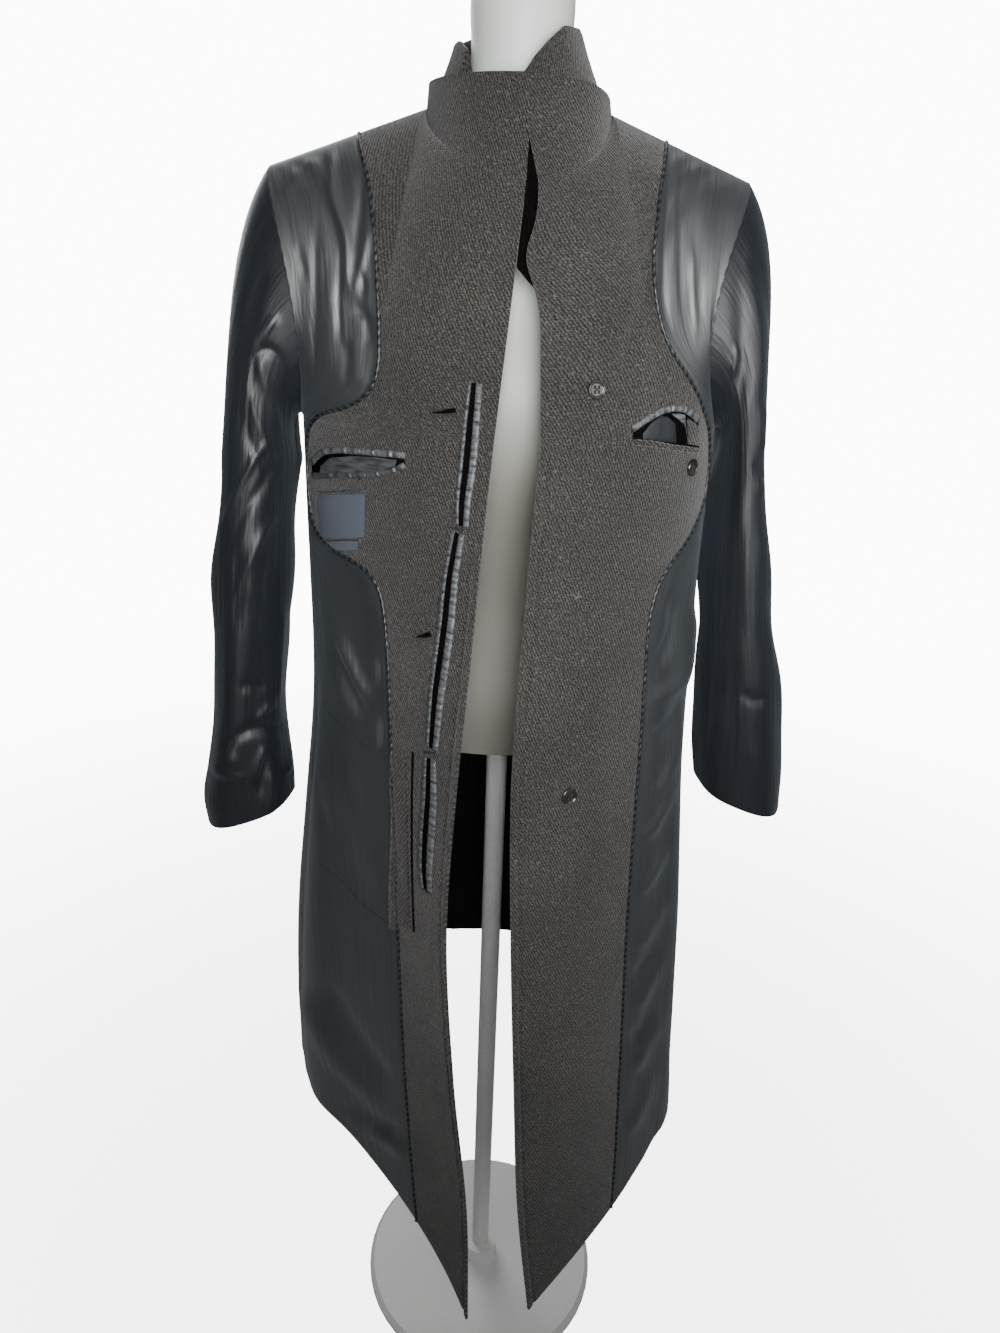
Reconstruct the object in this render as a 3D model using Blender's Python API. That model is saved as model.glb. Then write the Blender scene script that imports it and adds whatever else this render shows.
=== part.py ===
"""A man's overcoat turned inside out and hung on a limbless dress form with a pole stand.

The lining and the wool facings are on the outside.  Left and right are as seen from the front:
the fly side, with the hidden button placket, is at -X and the button side is at +X.
The front faces -Y, +Z is up, the floor is at z = 0 and the pole stands on the Z axis.  Metres.
"""

import functools
import math

import bpy
import numpy as np
from mathutils import Vector
from mathutils.bvhtree import BVHTree

# Cloth
WOOL_WALL = 0.003
LINING_WALL = 0.002
SEAM_GAP = 0.0003
END_SHARE = 0.9996
LAY_GAP = 0.0007

# Levels of the coat
UNDERARM_Z = 1.25
SHOULDER_ROW = 1.50
SHOULDER_ROWS = (1.474, 1.487, 1.495, 1.4988, 1.500)
NECK_SIDE_Z = 1.522
NECK_BACK_Z = 1.536
NECK_FRONT_Z = 1.462
LAPEL_TOP_Z = 1.540

# Neck ring of the coat, seen from above
NECK_HALF_WIDTH = 0.084
NECK_FRONT_REACH = 0.102
NECK_BACK_REACH = 0.074
LAPEL_TOP_REACH = 0.090
LAPEL_TOP_HALF_WIDTH = 0.082
NECK_COLUMN = 0.50
BACK_NECK_COLUMN = 0.45
BUTTON_SIDE_TUCK = 0.007
NECK_EDGE_X = {-1: 0.008, 1: 0.019}
LAPEL_EDGE_X = {-1: 0.010, 1: -0.004}
LAPEL_ROW = 1.36
EDGE_DIP = 0.011
EDGE_DIP_ROW = 1.428

# Armhole
SHOULDER_TIPS = {-1: (0.230, 0.002, 1.472), 1: (0.216, 0.002, 1.471)}
ARMHOLE_FRONT_BOW = 0.064
ARMHOLE_BACK_BOW = 0.050
ARMHOLE_IN = {-1: 0.018, 1: 0.028}

# Front edge and side seam of each half.  turn is how far, in degrees, the cloth at the front edge
# points away from straight sideways; edge_drop is how much lower the front edge is than the side.
# Columns: row_z, edge_x, edge_y, turn, run, side_x, side_y, edge_drop
FLY_FRONT = (
    (0.385, -0.012, -0.305, 60.0, 0.160, 0.262, 0.060, 0.062),
    (0.500, -0.016, -0.286, 57.0, 0.150, 0.259, 0.045, 0.045),
    (0.650, -0.034, -0.259, 54.0, 0.138, 0.2455, 0.016, 0.030),
    (0.800, -0.0445, -0.232, 48.0, 0.130, 0.228, 0.008, 0.015),
    (0.950, -0.037, -0.205, 40.0, 0.122, 0.211, 0.000, 0.005),
    (1.100, -0.024, -0.174, 25.0, 0.115, 0.2075, -0.004, 0.000),
    (1.250, -0.012, -0.148, 9.0, 0.110, 0.207, -0.006, 0.000),
)
BUTTON_FRONT = (
    (0.385, 0.056, -0.300, 44.0, 0.110, 0.250, 0.030, 0.050),
    (0.500, 0.040, -0.283, 36.0, 0.112, 0.240, 0.024, 0.038),
    (0.650, 0.029, -0.256, 28.0, 0.114, 0.231, 0.016, 0.026),
    (0.800, 0.020, -0.230, 20.0, 0.114, 0.2215, 0.008, 0.014),
    (0.950, 0.015, -0.203, 14.0, 0.112, 0.213, 0.000, 0.005),
    (1.100, 0.021, -0.172, 9.0, 0.110, 0.207, -0.004, 0.000),
    (1.250, 0.029, -0.148, 6.0, 0.108, 0.207, -0.006, 0.000),
)
# Columns: row_z, back_y, back_lift
BACK_SECTIONS = (
    (0.385, 0.236, 0.042),
    (0.500, 0.224, 0.034),
    (0.650, 0.206, 0.024),
    (0.800, 0.184, 0.014),
    (0.950, 0.162, 0.006),
    (1.100, 0.142, 0.000),
    (1.250, 0.134, 0.000),
)
HEM_RISE = {-1: 0.026, 1: 0.0}
HEM_REACH = 0.09
SIDE_RUN_FRONT = 0.42
SIDE_RUN_BACK = 0.60
BACK_RUN = 0.60

# Edge of the wool facing: height of the row, and how far from the middle plane it lies
# Columns: row_z, x
FLY_FACING = (
    (0.385, 0.074), (0.450, 0.080), (0.600, 0.090), (0.750, 0.096), (0.850, 0.101), (0.950, 0.105),
    (1.040, 0.109), (1.085, 0.113), (1.106, 0.118), (1.120, 0.130), (1.126, 0.150), (1.131, 0.170),
    (1.140, 0.190), (1.165, 0.198), (1.210, 0.199), (1.242, 0.194), (1.258, 0.180), (1.271, 0.140),
    (1.284, 0.123), (1.305, 0.1165), (1.340, 0.1175), (1.400, 0.122), (1.450, 0.130), (1.500, 0.145),
)
BUTTON_FACING = (
    (0.385, 0.154), (0.450, 0.154), (0.600, 0.150), (0.750, 0.145), (0.850, 0.144), (0.950, 0.144),
    (1.020, 0.143), (1.080, 0.142), (1.112, 0.148), (1.133, 0.162), (1.148, 0.178), (1.166, 0.191),
    (1.190, 0.199), (1.220, 0.199), (1.250, 0.194), (1.280, 0.180), (1.296, 0.170), (1.310, 0.158),
    (1.322, 0.145), (1.340, 0.133), (1.365, 0.125), (1.400, 0.122), (1.450, 0.126), (1.500, 0.134),
)

FACING_SHARES = (0.0, 0.16, 0.31, 0.45, 0.57, 0.67, 0.76, 0.84, 0.92, 1.0)

# Soft folds of the hanging cloth: which half, place across (0 front edge, 1 side, 2 middle of the
# back), middle height, half length, half width across and height of the ridge
# Columns: side, across, row_z, half_length, half_width, ridge
FOLDS = (
    (-1, 0.66, 0.62, 0.30, 0.10, 0.010),
    (-1, 0.86, 0.72, 0.34, 0.08, -0.007),
    (-1, 1.22, 0.60, 0.36, 0.12, 0.012),
    (-1, 1.46, 0.58, 0.34, 0.10, -0.008),
    (-1, 1.70, 0.56, 0.32, 0.11, 0.010),
    (1, 0.74, 0.60, 0.30, 0.09, 0.009),
    (1, 0.90, 0.66, 0.32, 0.07, -0.006),
    (1, 1.20, 0.60, 0.36, 0.12, 0.012),
    (1, 1.44, 0.58, 0.34, 0.10, -0.008),
    (1, 1.70, 0.56, 0.32, 0.11, 0.010),
)

# Sleeves: height, inner and outer side from the middle plane, middle and half of the depth
# Columns: row_z, inner_x, outer_x, middle_y, half_depth
FLY_SLEEVE = (
    (1.190, 0.218, 0.293, 0.002, 0.075),
    (1.100, 0.227, 0.305, -0.004, 0.074),
    (1.000, 0.236, 0.312, -0.012, 0.070),
    (0.930, 0.240, 0.319, -0.020, 0.064),
    (0.870, 0.238, 0.329, -0.027, 0.058),
    (0.832, 0.2345, 0.336, -0.032, 0.053),
    (0.808, 0.234, 0.334, -0.034, 0.051),
)
BUTTON_SLEEVE = (
    (1.190, 0.212, 0.264, 0.004, 0.076),
    (1.100, 0.213, 0.281, -0.002, 0.075),
    (1.000, 0.2165, 0.306, -0.010, 0.071),
    (0.930, 0.220, 0.318, -0.018, 0.065),
    (0.880, 0.223, 0.325, -0.024, 0.059),
    (0.862, 0.2250, 0.326, -0.027, 0.056),
    (0.846, 0.227, 0.327, -0.029, 0.054),
)
CUFF_TILT = 0.016
TOP_SLEEVE_SHARE = (0.18, 0.71)
CAP_REACH = 0.30
CROWN_SLOPE = 1.35
UNDERARM_SLOPE = 0.05
CAP_LEVELS = (0.0, 0.09, 0.20, 0.34, 0.50, 0.72, 1.0)

# Collar, standing up: angle from the front (negative on the fly side) and height of its top edge
# Columns: angle, top_z
COLLAR_TOP = (
    (-42.0, 1.538), (-50.0, 1.562), (-62.0, 1.570), (-90.0, 1.568), (-140.0, 1.588), (-180.0, 1.592),
)
COLLAR_TOP_BUTTON = (
    (2.0, 1.538), (15.0, 1.556), (28.0, 1.569), (42.0, 1.580), (65.0, 1.582), (90.0, 1.576),
    (140.0, 1.588), (180.0, 1.592),
)
COLLAR_WALL = 0.003
COLLAR_TOP_HALF_WIDTH = 0.0575
COLLAR_BASE_FRONT = 0.088
COLLAR_TOP_FRONT = 0.068
COLLAR_TOP_BACK = 0.066
COLLAR_TOP_SHIFT = -0.003
COLLAR_INSIDE = 0.905

# Dress form and stand
# Columns: z, half_width, front, back
FORM_SECTIONS = (
    (0.915, 0.158, 0.098, 0.096),
    (0.960, 0.158, 0.096, 0.098),
    (1.020, 0.144, 0.086, 0.086),
    (1.080, 0.129, 0.080, 0.074),
    (1.150, 0.130, 0.088, 0.076),
    (1.220, 0.142, 0.104, 0.084),
    (1.280, 0.148, 0.108, 0.088),
    (1.350, 0.156, 0.092, 0.088),
    (1.400, 0.170, 0.078, 0.078),
    (1.440, 0.181, 0.058, 0.058),
    (1.462, 0.187, 0.050, 0.050),
)
# Columns: z, drop below the shoulder line, depth, power
RIDGE_SECTIONS = (
    (1.4780, 0.0027, 0.046, 1.70), (1.4830, 0.0027, 0.045, 1.60), (1.4880, 0.0027, 0.044, 1.50),
    (1.4940, 0.0027, 0.043, 1.40), (1.4990, 0.0038, 0.043, 1.30), (1.5040, 0.0060, 0.042, 1.25),
    (1.5090, 0.0090, 0.042, 1.30),
)
RIDGE_END = 0.188
# Columns: z, half_width, front, back
NECK_SECTIONS = (
    (1.5220, 0.066, 0.043, 0.045), (1.5340, 0.054, 0.045, 0.046), (1.5520, 0.047, 0.046, 0.047),
    (1.6000, 0.046, 0.046, 0.047), (1.6600, 0.046, 0.046, 0.046), (1.6960, 0.045, 0.045, 0.045),
)
NECK_CAP_Z = 1.704
NECK_CAP_SHARE = 0.84
FORM_SIDES = 36
POLE_RADIUS = 0.012
POLE_SOCKET_DEPTH = 0.060
POLE_CLEARANCE = 0.0003
BASE_RADIUS = 0.165
BASE_EDGE = 0.006
BASE_TOP = 0.012
BASE_BOSS_RADIUS = 0.024
BASE_BOSS_TOP = 0.040
POLE_SIDES = 20
BASE_SIDES = 48

# Hard trim
STAY_BUTTON_RADIUS = 0.0085
STAY_BUTTON_HEIGHT = 0.0026
FRONT_BUTTON_RADIUS = 0.0125
FRONT_BUTTON_HEIGHT = 0.0035
BUTTON_RIM = 0.70
BUTTON_DISH = 0.0008
BUTTON_SIDES = 14
BUTTON_PLACES = (("upper", 0.075, 1.297), ("middle", 0.068, 1.119), ("lower", 0.071, 0.921))
POCKET_BUTTON_PLACE = (0.175, 1.222)

# Trim that lies on the facings: (x, z) of the line it follows
PIPING_HEIGHT = 0.0016
FLY_SLITS = (
    ("upper", ((0.031, 1.301), (0.036, 1.250), (0.041, 1.205), (0.046, 1.176))),
    ("middle", ((0.048, 1.166), (0.055, 1.105), (0.064, 1.040), (0.070, 0.975))),
    ("lower", ((0.071, 0.966), (0.074, 0.920), (0.074, 0.880), (0.068, 0.842))),
)
SLIT_HALF_GAP = 0.0032
SLIT_PIPING_WIDTH = 0.0062
FLY_POCKET_UPPER = (
    (0.180, 1.216), (0.177, 1.226), (0.168, 1.233), (0.150, 1.234), (0.120, 1.233), (0.088, 1.232),
)
FLY_POCKET_LOWER = ((0.180, 1.209), (0.165, 1.210), (0.140, 1.210), (0.110, 1.214), (0.088, 1.219))
BUTTON_POCKET_UPPER = ((0.123, 1.252), (0.134, 1.264), (0.150, 1.275), (0.166, 1.275), (0.180, 1.262))
BUTTON_POCKET_LOWER = ((0.123, 1.246), (0.145, 1.243), (0.165, 1.240), (0.182, 1.236))
WELT_WIDTH = 0.006
LABEL_BOX = (0.179, 0.131, 1.191, 1.150)
CARE_LABEL_BOX = (0.172, 0.152, 1.147, 1.137)
LABEL_HEIGHT = 0.0010
SIDE_POCKET_LINE = ((0.0985, 0.945), (0.0965, 0.900), (0.0930, 0.840), (0.0900, 0.762))
SIDE_POCKET_WIDTH = 0.012

# Vent at the middle of the back
VENT_TOP_Z = 0.86
VENT_INSET = 0.04

# Colours (linear), roughness and metallic value
FINISHES = {
    "wool": ((0.028, 0.025, 0.023), 0.95, 0.0),
    "satin": ((0.012, 0.015, 0.018), 0.35, 0.0),
    "satin_trim": ((0.030, 0.033, 0.036), 0.40, 0.0),
    "label": ((0.016, 0.022, 0.036), 0.55, 0.0),
    "button": ((0.020, 0.016, 0.015), 0.15, 0.0),
    "form": ((0.72, 0.74, 0.71), 0.45, 0.0),
    "steel": ((0.60, 0.61, 0.59), 0.40, 0.0),
}


def smooth_column(table, column, rows):
    """One column of a table at any height: a cubic through its rows with slopes from their neighbours."""
    table = np.asarray(table, float)
    keys = table[:, 0]
    values = table[:, column]
    slopes = np.gradient(values, keys)
    rows = np.clip(np.asarray(rows, float), keys[0], keys[-1])
    cell = np.clip(np.searchsorted(keys, rows, side="right") - 1, 0, len(keys) - 2)
    step = keys[cell + 1] - keys[cell]
    t = (rows - keys[cell]) / step
    start = (1 + 2 * t) * (1 - t) ** 2 * values[cell] + t * (1 - t) ** 2 * step * slopes[cell]
    end = t * t * (3 - 2 * t) * values[cell + 1] + t * t * (t - 1) * step * slopes[cell + 1]
    return start + end


def bezier(corners, t):
    """Points at t of the cubic with four control points, each an array that ends in x, y, z."""
    a, b, c, d = corners
    t = t[..., None]
    return a * (1 - t) ** 3 + 3 * b * t * (1 - t) ** 2 + 3 * c * t * t * (1 - t) + d * t ** 3


def along(corners, share):
    """Points of a row's cubic at shares of its own length, so that a share is a distance along the cloth."""
    steps = np.linspace(0.0, 1.0, 49)
    out = np.empty(share.shape + (3,))
    for i in range(len(share)):
        row = [c[i] for c in corners]
        line = bezier(row, steps)
        run = np.concatenate([[0.0], np.cumsum(np.linalg.norm(np.diff(line, axis=0), axis=1))])
        out[i] = bezier(row, np.interp(share[i], run / run[-1], steps))
    return out


def vectors(*parts):
    """Stacks numbers or arrays into points."""
    return np.stack(np.broadcast_arrays(*[np.asarray(p, float) for p in parts]), axis=-1)


def side_seam_y(table, rows):
    """Depth of the side seam, in straight runs between the section rows, which every panel has."""
    table = np.array(table)
    return np.interp(rows, table[:, 0], table[:, 6])


def front_row(side, rows, share):
    """Body rows from the front edge (share 0) to the side seam (share 1), from the hem to the underarm."""
    table = FLY_FRONT if side < 0 else BUTTON_FRONT
    edge_x, edge_y, turn, run, side_x, drop = (smooth_column(table, i, rows) for i in (1, 2, 3, 4, 5, 7))
    side_y = side_seam_y(table, rows)
    turn = np.radians(turn)
    edge = vectors(edge_x, edge_y, 0 * rows)
    seam = vectors(side * side_x, side_y, 0 * rows)
    reach = SIDE_RUN_FRONT * (side_y - edge_y)
    leave = edge + vectors(side * np.cos(turn), np.sin(turn), 0 * rows) * run[:, None]
    arrive = seam - vectors(0 * rows, reach, 0 * rows)
    points = along([edge, leave, arrive, seam], share)
    points[..., 2] = rows[:, None] - drop[:, None] * (1 - share) ** 2
    low = np.exp(-((rows - table[0][0]) / HEM_REACH) ** 2)[:, None]
    points[..., 2] += HEM_RISE[side] * low * np.sin(math.pi * share)
    return points


def back_row(side, rows, share):
    """Body rows from the side seam (share 0) to the middle of the back (share 1), below the underarm."""
    table = FLY_FRONT if side < 0 else BUTTON_FRONT
    side_x = smooth_column(table, 5, rows)
    side_y = side_seam_y(table, rows)
    back_y, lift = (smooth_column(BACK_SECTIONS, i, rows) for i in (1, 2))
    seam = vectors(side * side_x, side_y, 0 * rows)
    middle = vectors(0 * rows, back_y, 0 * rows)
    leave = seam + vectors(0 * rows, SIDE_RUN_BACK * (back_y - side_y), 0 * rows)
    arrive = middle + vectors(side * BACK_RUN * side_x, 0 * rows, 0 * rows)
    points = along([seam, leave, arrive, middle], share)
    points[..., 2] = rows[:, None] + lift[:, None] * share * (2 - share)
    return points


def neck_tuck(side):
    """The button side passes under the fly side at the neck, so its ring is that much smaller."""
    return BUTTON_SIDE_TUCK if side > 0 else 0.0


def front_neck(side, share, reach, half_width, edge_x):
    """Neck ring from the front edge (share 0) to the neck point (share 1): a quarter of an ellipse."""
    start = math.asin(side * edge_x / half_width)
    angle = start + (math.pi / 2 - start) * share
    tuck = neck_tuck(side) * (1 - share)
    x = side * (half_width - 0.3 * tuck) * np.sin(angle)
    y = -(reach - tuck) * np.cos(angle)
    return x, y


def front_top(side, share):
    """Top of a front: the neck ring, then the shoulder seam from the neck point to the shoulder tip."""
    neck = np.clip(share / NECK_COLUMN, 0, 1)
    x, y = front_neck(side, neck, NECK_FRONT_REACH, NECK_HALF_WIDTH, NECK_EDGE_X[side])
    z = NECK_FRONT_Z + (NECK_SIDE_Z - NECK_FRONT_Z) * neck ** 1.5
    seam = np.clip((share - NECK_COLUMN) / (1 - NECK_COLUMN), 0, 1)
    tip = np.array(SHOULDER_TIPS[side]) * (side, 1, 1)
    x = x + (tip[0] - side * NECK_HALF_WIDTH) * seam
    y = y + tip[1] * seam - SEAM_GAP / 2
    z = z + (tip[2] - NECK_SIDE_Z) * seam
    return vectors(x, y, z)


def back_top(side, share):
    """Top of a back half: the shoulder seam, then the neck ring to the middle of the back."""
    neck = np.clip((share - 1 + BACK_NECK_COLUMN) / BACK_NECK_COLUMN, 0, 1)
    seam = np.clip(1 - share / (1 - BACK_NECK_COLUMN), 0, 1)
    tip = np.array(SHOULDER_TIPS[side]) * (side, 1, 1)
    x = side * NECK_HALF_WIDTH * np.cos(neck * math.pi / 2) + (tip[0] - side * NECK_HALF_WIDTH) * seam
    y = NECK_BACK_REACH * np.sin(neck * math.pi / 2) + tip[1] * seam + SEAM_GAP / 2
    z = NECK_SIDE_Z + (NECK_BACK_Z - NECK_SIDE_Z) * neck + (tip[2] - NECK_SIDE_Z) * seam
    return vectors(x, y, z)


def rise(low, top, up, curl):
    """From the underarm row up to the top: straight sideways and upwards, curling over in depth."""
    over = (1 - curl) * up ** 2 + curl * (1 - np.sqrt(np.clip(1 - up ** 2, 0, 1)))
    return vectors(
        low[..., 0] + (top[..., 0] - low[..., 0]) * up,
        low[..., 1] + (top[..., 1] - low[..., 1]) * over,
        low[..., 2] + (top[..., 2] - low[..., 2]) * up,
    )


def armhole_bow(side, up, near, depth):
    """How far the armhole swings in and forward (or back) from a straight line, fading away from it."""
    up = np.clip(up, 0, 1)
    inward = np.sin(math.pi * up ** 0.85)
    forward = (4 * up * (1 - up)) ** 0.6
    return vectors(-side * ARMHOLE_IN[side] * inward * near, depth * forward * near, 0 * up * near)


def fold_ridges(side, rows, across):
    """Sum of the soft folds at each place: a rounded ridge or trough that fades at both its ends."""
    out = np.zeros_like(across)
    for fold_side, middle, row_z, half_length, half_width, ridge in FOLDS:
        if fold_side == side:
            away = (across - middle) / half_width
            level = (rows - row_z) / half_length
            out += ridge * np.exp(-away ** 2) * np.exp(-level ** 4)
    return out


def front_sheet(side, rows, share):
    """Outer face of a front half: rows are heights at the side seam, share runs edge to side."""
    rows = np.asarray(rows, float)
    share = np.broadcast_to(np.asarray(share, float), (len(rows), np.shape(share)[-1])).copy()
    low = front_row(side, np.minimum(rows, UNDERARM_Z), share)
    up = np.clip((rows - UNDERARM_Z) / (SHOULDER_ROW - UNDERARM_Z), 0, 1)[:, None] + 0 * share
    curl = np.clip((share - 0.12) / 0.38, 0, 1)
    points = rise(low, front_top(side, share), up, curl)
    near = np.clip((share - 0.45) / 0.55, 0, 1) ** 2
    if side > 0:
        points[..., 0] -= EDGE_DIP * np.exp(-((rows - EDGE_DIP_ROW) / 0.030) ** 2)[:, None] * (1 - share) ** 6
    return points + armhole_bow(side, up, near, -ARMHOLE_FRONT_BOW)


def back_sheet(side, rows, share):
    """Outer face of a back half: share runs from the side seam to the middle of the back."""
    rows = np.asarray(rows, float)
    share = np.broadcast_to(np.asarray(share, float), (len(rows), np.shape(share)[-1])).copy()
    low = back_row(side, np.minimum(rows, UNDERARM_Z), share)
    up = np.clip((rows - UNDERARM_Z) / (SHOULDER_ROW - UNDERARM_Z), 0, 1)[:, None] + 0 * share
    points = rise(low, back_top(side, share), up, 0.9 + 0 * share)
    near = np.clip((0.55 - share) / 0.55, 0, 1) ** 2
    return points + armhole_bow(side, up, near, ARMHOLE_BACK_BOW)


def sheet_and_normals(sheet, side, rows, share):
    """Points of a sheet and its outward directions, from small steps along it."""
    step = 0.004
    rows = np.asarray(rows, float)
    share = np.broadcast_to(np.asarray(share, float), (len(rows), np.shape(share)[-1])).copy()
    points = sheet(side, rows, share)
    left = sheet(side, rows, np.clip(share - step, 0, 1))
    right = sheet(side, rows, np.clip(share + step, 0, 1))
    below = sheet(side, np.maximum(rows - step, FLY_FRONT[0][0]), share)
    above = sheet(side, np.minimum(rows + step, SHOULDER_ROW - 0.002), share)
    normals = np.cross(right - left, above - below)
    normals /= np.linalg.norm(normals, axis=-1, keepdims=True)
    normals *= np.sign((normals * points * (1.0, 1.0, 0.0)).sum())
    at_side = (share > 0.97) if sheet is front_sheet else (share < 0.03)
    normals[at_side & (rows <= UNDERARM_Z)[:, None]] = (side, 0.0, 0.0)
    if sheet is back_sheet:
        normals[share > 0.97, 0] = 0.0
    tip = SHOULDER_TIPS[side]
    slope = (tip[2] - NECK_SIDE_Z) / (tip[0] - NECK_HALF_WIDTH)
    neck = np.clip((share - 1 + BACK_NECK_COLUMN) / BACK_NECK_COLUMN, 0, 1) * (sheet is back_sheet)
    at_top = rows > SHOULDER_ROW - 0.0001
    normals[at_top] = vectors(-side * slope * (1 - neck), 0.35 * neck, 1.0)[at_top]
    normals /= np.linalg.norm(normals, axis=-1, keepdims=True)
    across = share if sheet is front_sheet else 1 + share
    ridges = fold_ridges(side, rows[:, None] + 0 * share, across)
    return points + normals * ridges[..., None], normals


def finish_material(name):
    """The material of one finish, made once."""
    found = bpy.data.materials.get(name)
    if found:
        return found
    colour, rough, metal = FINISHES[name]
    made = bpy.data.materials.new(name)
    made.use_nodes = True
    shader = made.node_tree.nodes["Principled BSDF"]
    shader.inputs["Base Color"].default_value = (*colour, 1.0)
    shader.inputs["Roughness"].default_value = rough
    shader.inputs["Metallic"].default_value = metal
    made.diffuse_color = (*colour, 1.0)
    return made


def signed_volume(points, faces):
    """Volume inside a closed mesh, positive where its faces point out."""
    total = 0.0
    for face in faces:
        a = points[face[0]]
        for i in range(1, len(face) - 1):
            total += float(np.dot(a, np.cross(points[face[i]], points[face[i + 1]]))) / 6
    return total


def add_solid(name, points, faces, finish, parent):
    """Makes one named object of a closed mesh whose faces point out."""
    points = np.asarray(points, float)
    if signed_volume(points, faces) < 0:
        faces = [face[::-1] for face in faces]
    mesh = bpy.data.meshes.new(name)
    mesh.from_pydata([tuple(p) for p in points], [], faces)
    mesh.validate()
    mesh.materials.append(finish_material(finish))
    mesh.shade_smooth()
    mesh.set_sharp_from_angle(angle=math.radians(40))
    made = bpy.data.objects.new(name, mesh)
    bpy.context.scene.collection.objects.link(made)
    made.parent = parent
    return made


def wall_mesh(outer, inner, kept=None):
    """Closed wall between two grids of points; kept says which cells of the grid are cloth."""
    rows, columns = outer.shape[:2]
    if kept is None:
        kept = np.ones((rows - 1, columns - 1), bool)
    number = np.arange(rows * columns).reshape(rows, columns)
    shift = rows * columns
    faces = []
    edges = {}
    for i, j in zip(*np.nonzero(kept)):
        corner = [number[i, j], number[i, j + 1], number[i + 1, j + 1], number[i + 1, j]]
        faces.append(tuple(int(c) for c in corner))
        faces.append(tuple(int(c) + shift for c in reversed(corner)))
        for a, b in zip(corner, corner[1:] + corner[:1]):
            if (b, a) in edges:
                del edges[(b, a)]
            else:
                edges[(a, b)] = True
    for a, b in edges:
        a, b = int(a), int(b)
        if a < b:
            faces += [(b, a, b + shift), (a, a + shift, b + shift)]
        else:
            faces += [(b, a, a + shift), (b, a + shift, b + shift)]
    points = np.concatenate([outer.reshape(-1, 3), inner.reshape(-1, 3)])
    used = sorted({k for face in faces for k in face})
    place = {old: new for new, old in enumerate(used)}
    return points[used], [tuple(place[k] for k in face) for face in faces]


def share_at(side, rows, x):
    """Share of each row, from the front edge, where the cloth is x from the middle plane."""
    samples = np.linspace(0.0, 1.0, 201)
    points = front_sheet(side, rows, samples)
    out = np.empty(len(rows))
    for i in range(len(rows)):
        run = side * points[i, :, 0]
        last = int(np.argmax(run)) + 1
        out[i] = np.interp(x[i], run[:last], samples[:last])
    return out


def facing_share(side, rows):
    """Share of each row that is wool facing."""
    table = np.array(FLY_FACING if side < 0 else BUTTON_FACING)
    return share_at(side, rows, np.interp(rows, table[:, 0], table[:, 1]))


def half_gap(side, rows):
    """Half of the facing seam's gap as a share of each row, wider where the seam runs sideways."""
    points = front_sheet(side, rows, np.linspace(0.0, 1.0, 41))
    lengths = np.linalg.norm(np.diff(points, axis=1), axis=2).sum(1)
    run = np.abs(np.diff(facing_share(side, rows) * lengths) / np.diff(rows))
    steep = np.maximum(np.append(run, 0), np.insert(run, 0, 0))
    return 0.5 * SEAM_GAP * np.sqrt(1 + steep ** 2) / lengths


def panel_rows(side):
    """Heights of the rows: those of the facing's outline, and others so that none is far from the next."""
    keys = [row for row, _ in (FLY_FACING if side < 0 else BUTTON_FACING) if row < SHOULDER_ROW]
    keys = sorted(set(keys) | {section[0] for section in FLY_FRONT})
    rows = [keys[0]]
    for key in keys[1:] + list(SHOULDER_ROWS):
        parts = max(1, int(math.ceil((key - rows[-1]) / 0.075)))
        start = rows[-1]
        rows += [start + (key - start) * (i + 1) / parts for i in range(parts)]
    return np.array(rows)


def lapel_rows(side):
    """The part of the facing that stands round the neck, above the row of the neck point."""
    share = np.linspace(0.0, NECK_COLUMN, 5) / NECK_COLUMN
    base = front_top(side, share * NECK_COLUMN)
    x, y = front_neck(side, share, LAPEL_TOP_REACH, LAPEL_TOP_HALF_WIDTH, LAPEL_EDGE_X[side])
    droop = 0.0 if side < 0 else 0.012
    top = vectors(x, y, LAPEL_TOP_Z - droop * share ** 3)
    return base, top


def build_facing(side, name, parent):
    """Wool facing with its lapel: from the front edge to the lining, and up round the neck."""
    rows = panel_rows(side)
    edge = facing_share(side, rows) - half_gap(side, rows)
    columns = np.array(FACING_SHARES)
    top_columns = 5
    last = np.concatenate([
        np.linspace(0.0, NECK_COLUMN, top_columns),
        np.linspace(NECK_COLUMN, edge[-1], len(columns) - top_columns + 1)[1:],
    ]) / edge[-1]
    blend = np.clip((rows - LAPEL_ROW) / (rows[-1] - LAPEL_ROW), 0, 1)[:, None]
    share = edge[:, None] * (columns[None, :] * (1 - blend) + last[None, :] * blend)
    outer, normals = sheet_and_normals(front_sheet, side, rows, share)
    base, top = lapel_rows(side)
    outward = vectors(base[:, 0], base[:, 1], 0 * base[:, 0])
    outward /= np.linalg.norm(outward, axis=-1, keepdims=True)
    normals[-1, :top_columns] = outward
    levels = (0.5, 1.0)
    extra = np.repeat(outer[-1:], len(levels), axis=0)
    extra_normals = np.repeat(normals[-1:], len(levels), axis=0)
    for i, level in enumerate(levels):
        extra[i, :top_columns] = base + (top - base) * level
    outer = np.concatenate([outer, extra])
    normals = np.concatenate([normals, extra_normals])
    kept = np.ones((len(outer) - 1, len(columns) - 1), bool)
    kept[len(rows) - 1:, top_columns - 1:] = False
    points, faces = wall_mesh(outer, outer - normals * WOOL_WALL, kept)
    return add_solid(name, points, faces, "wool", parent)


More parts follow.
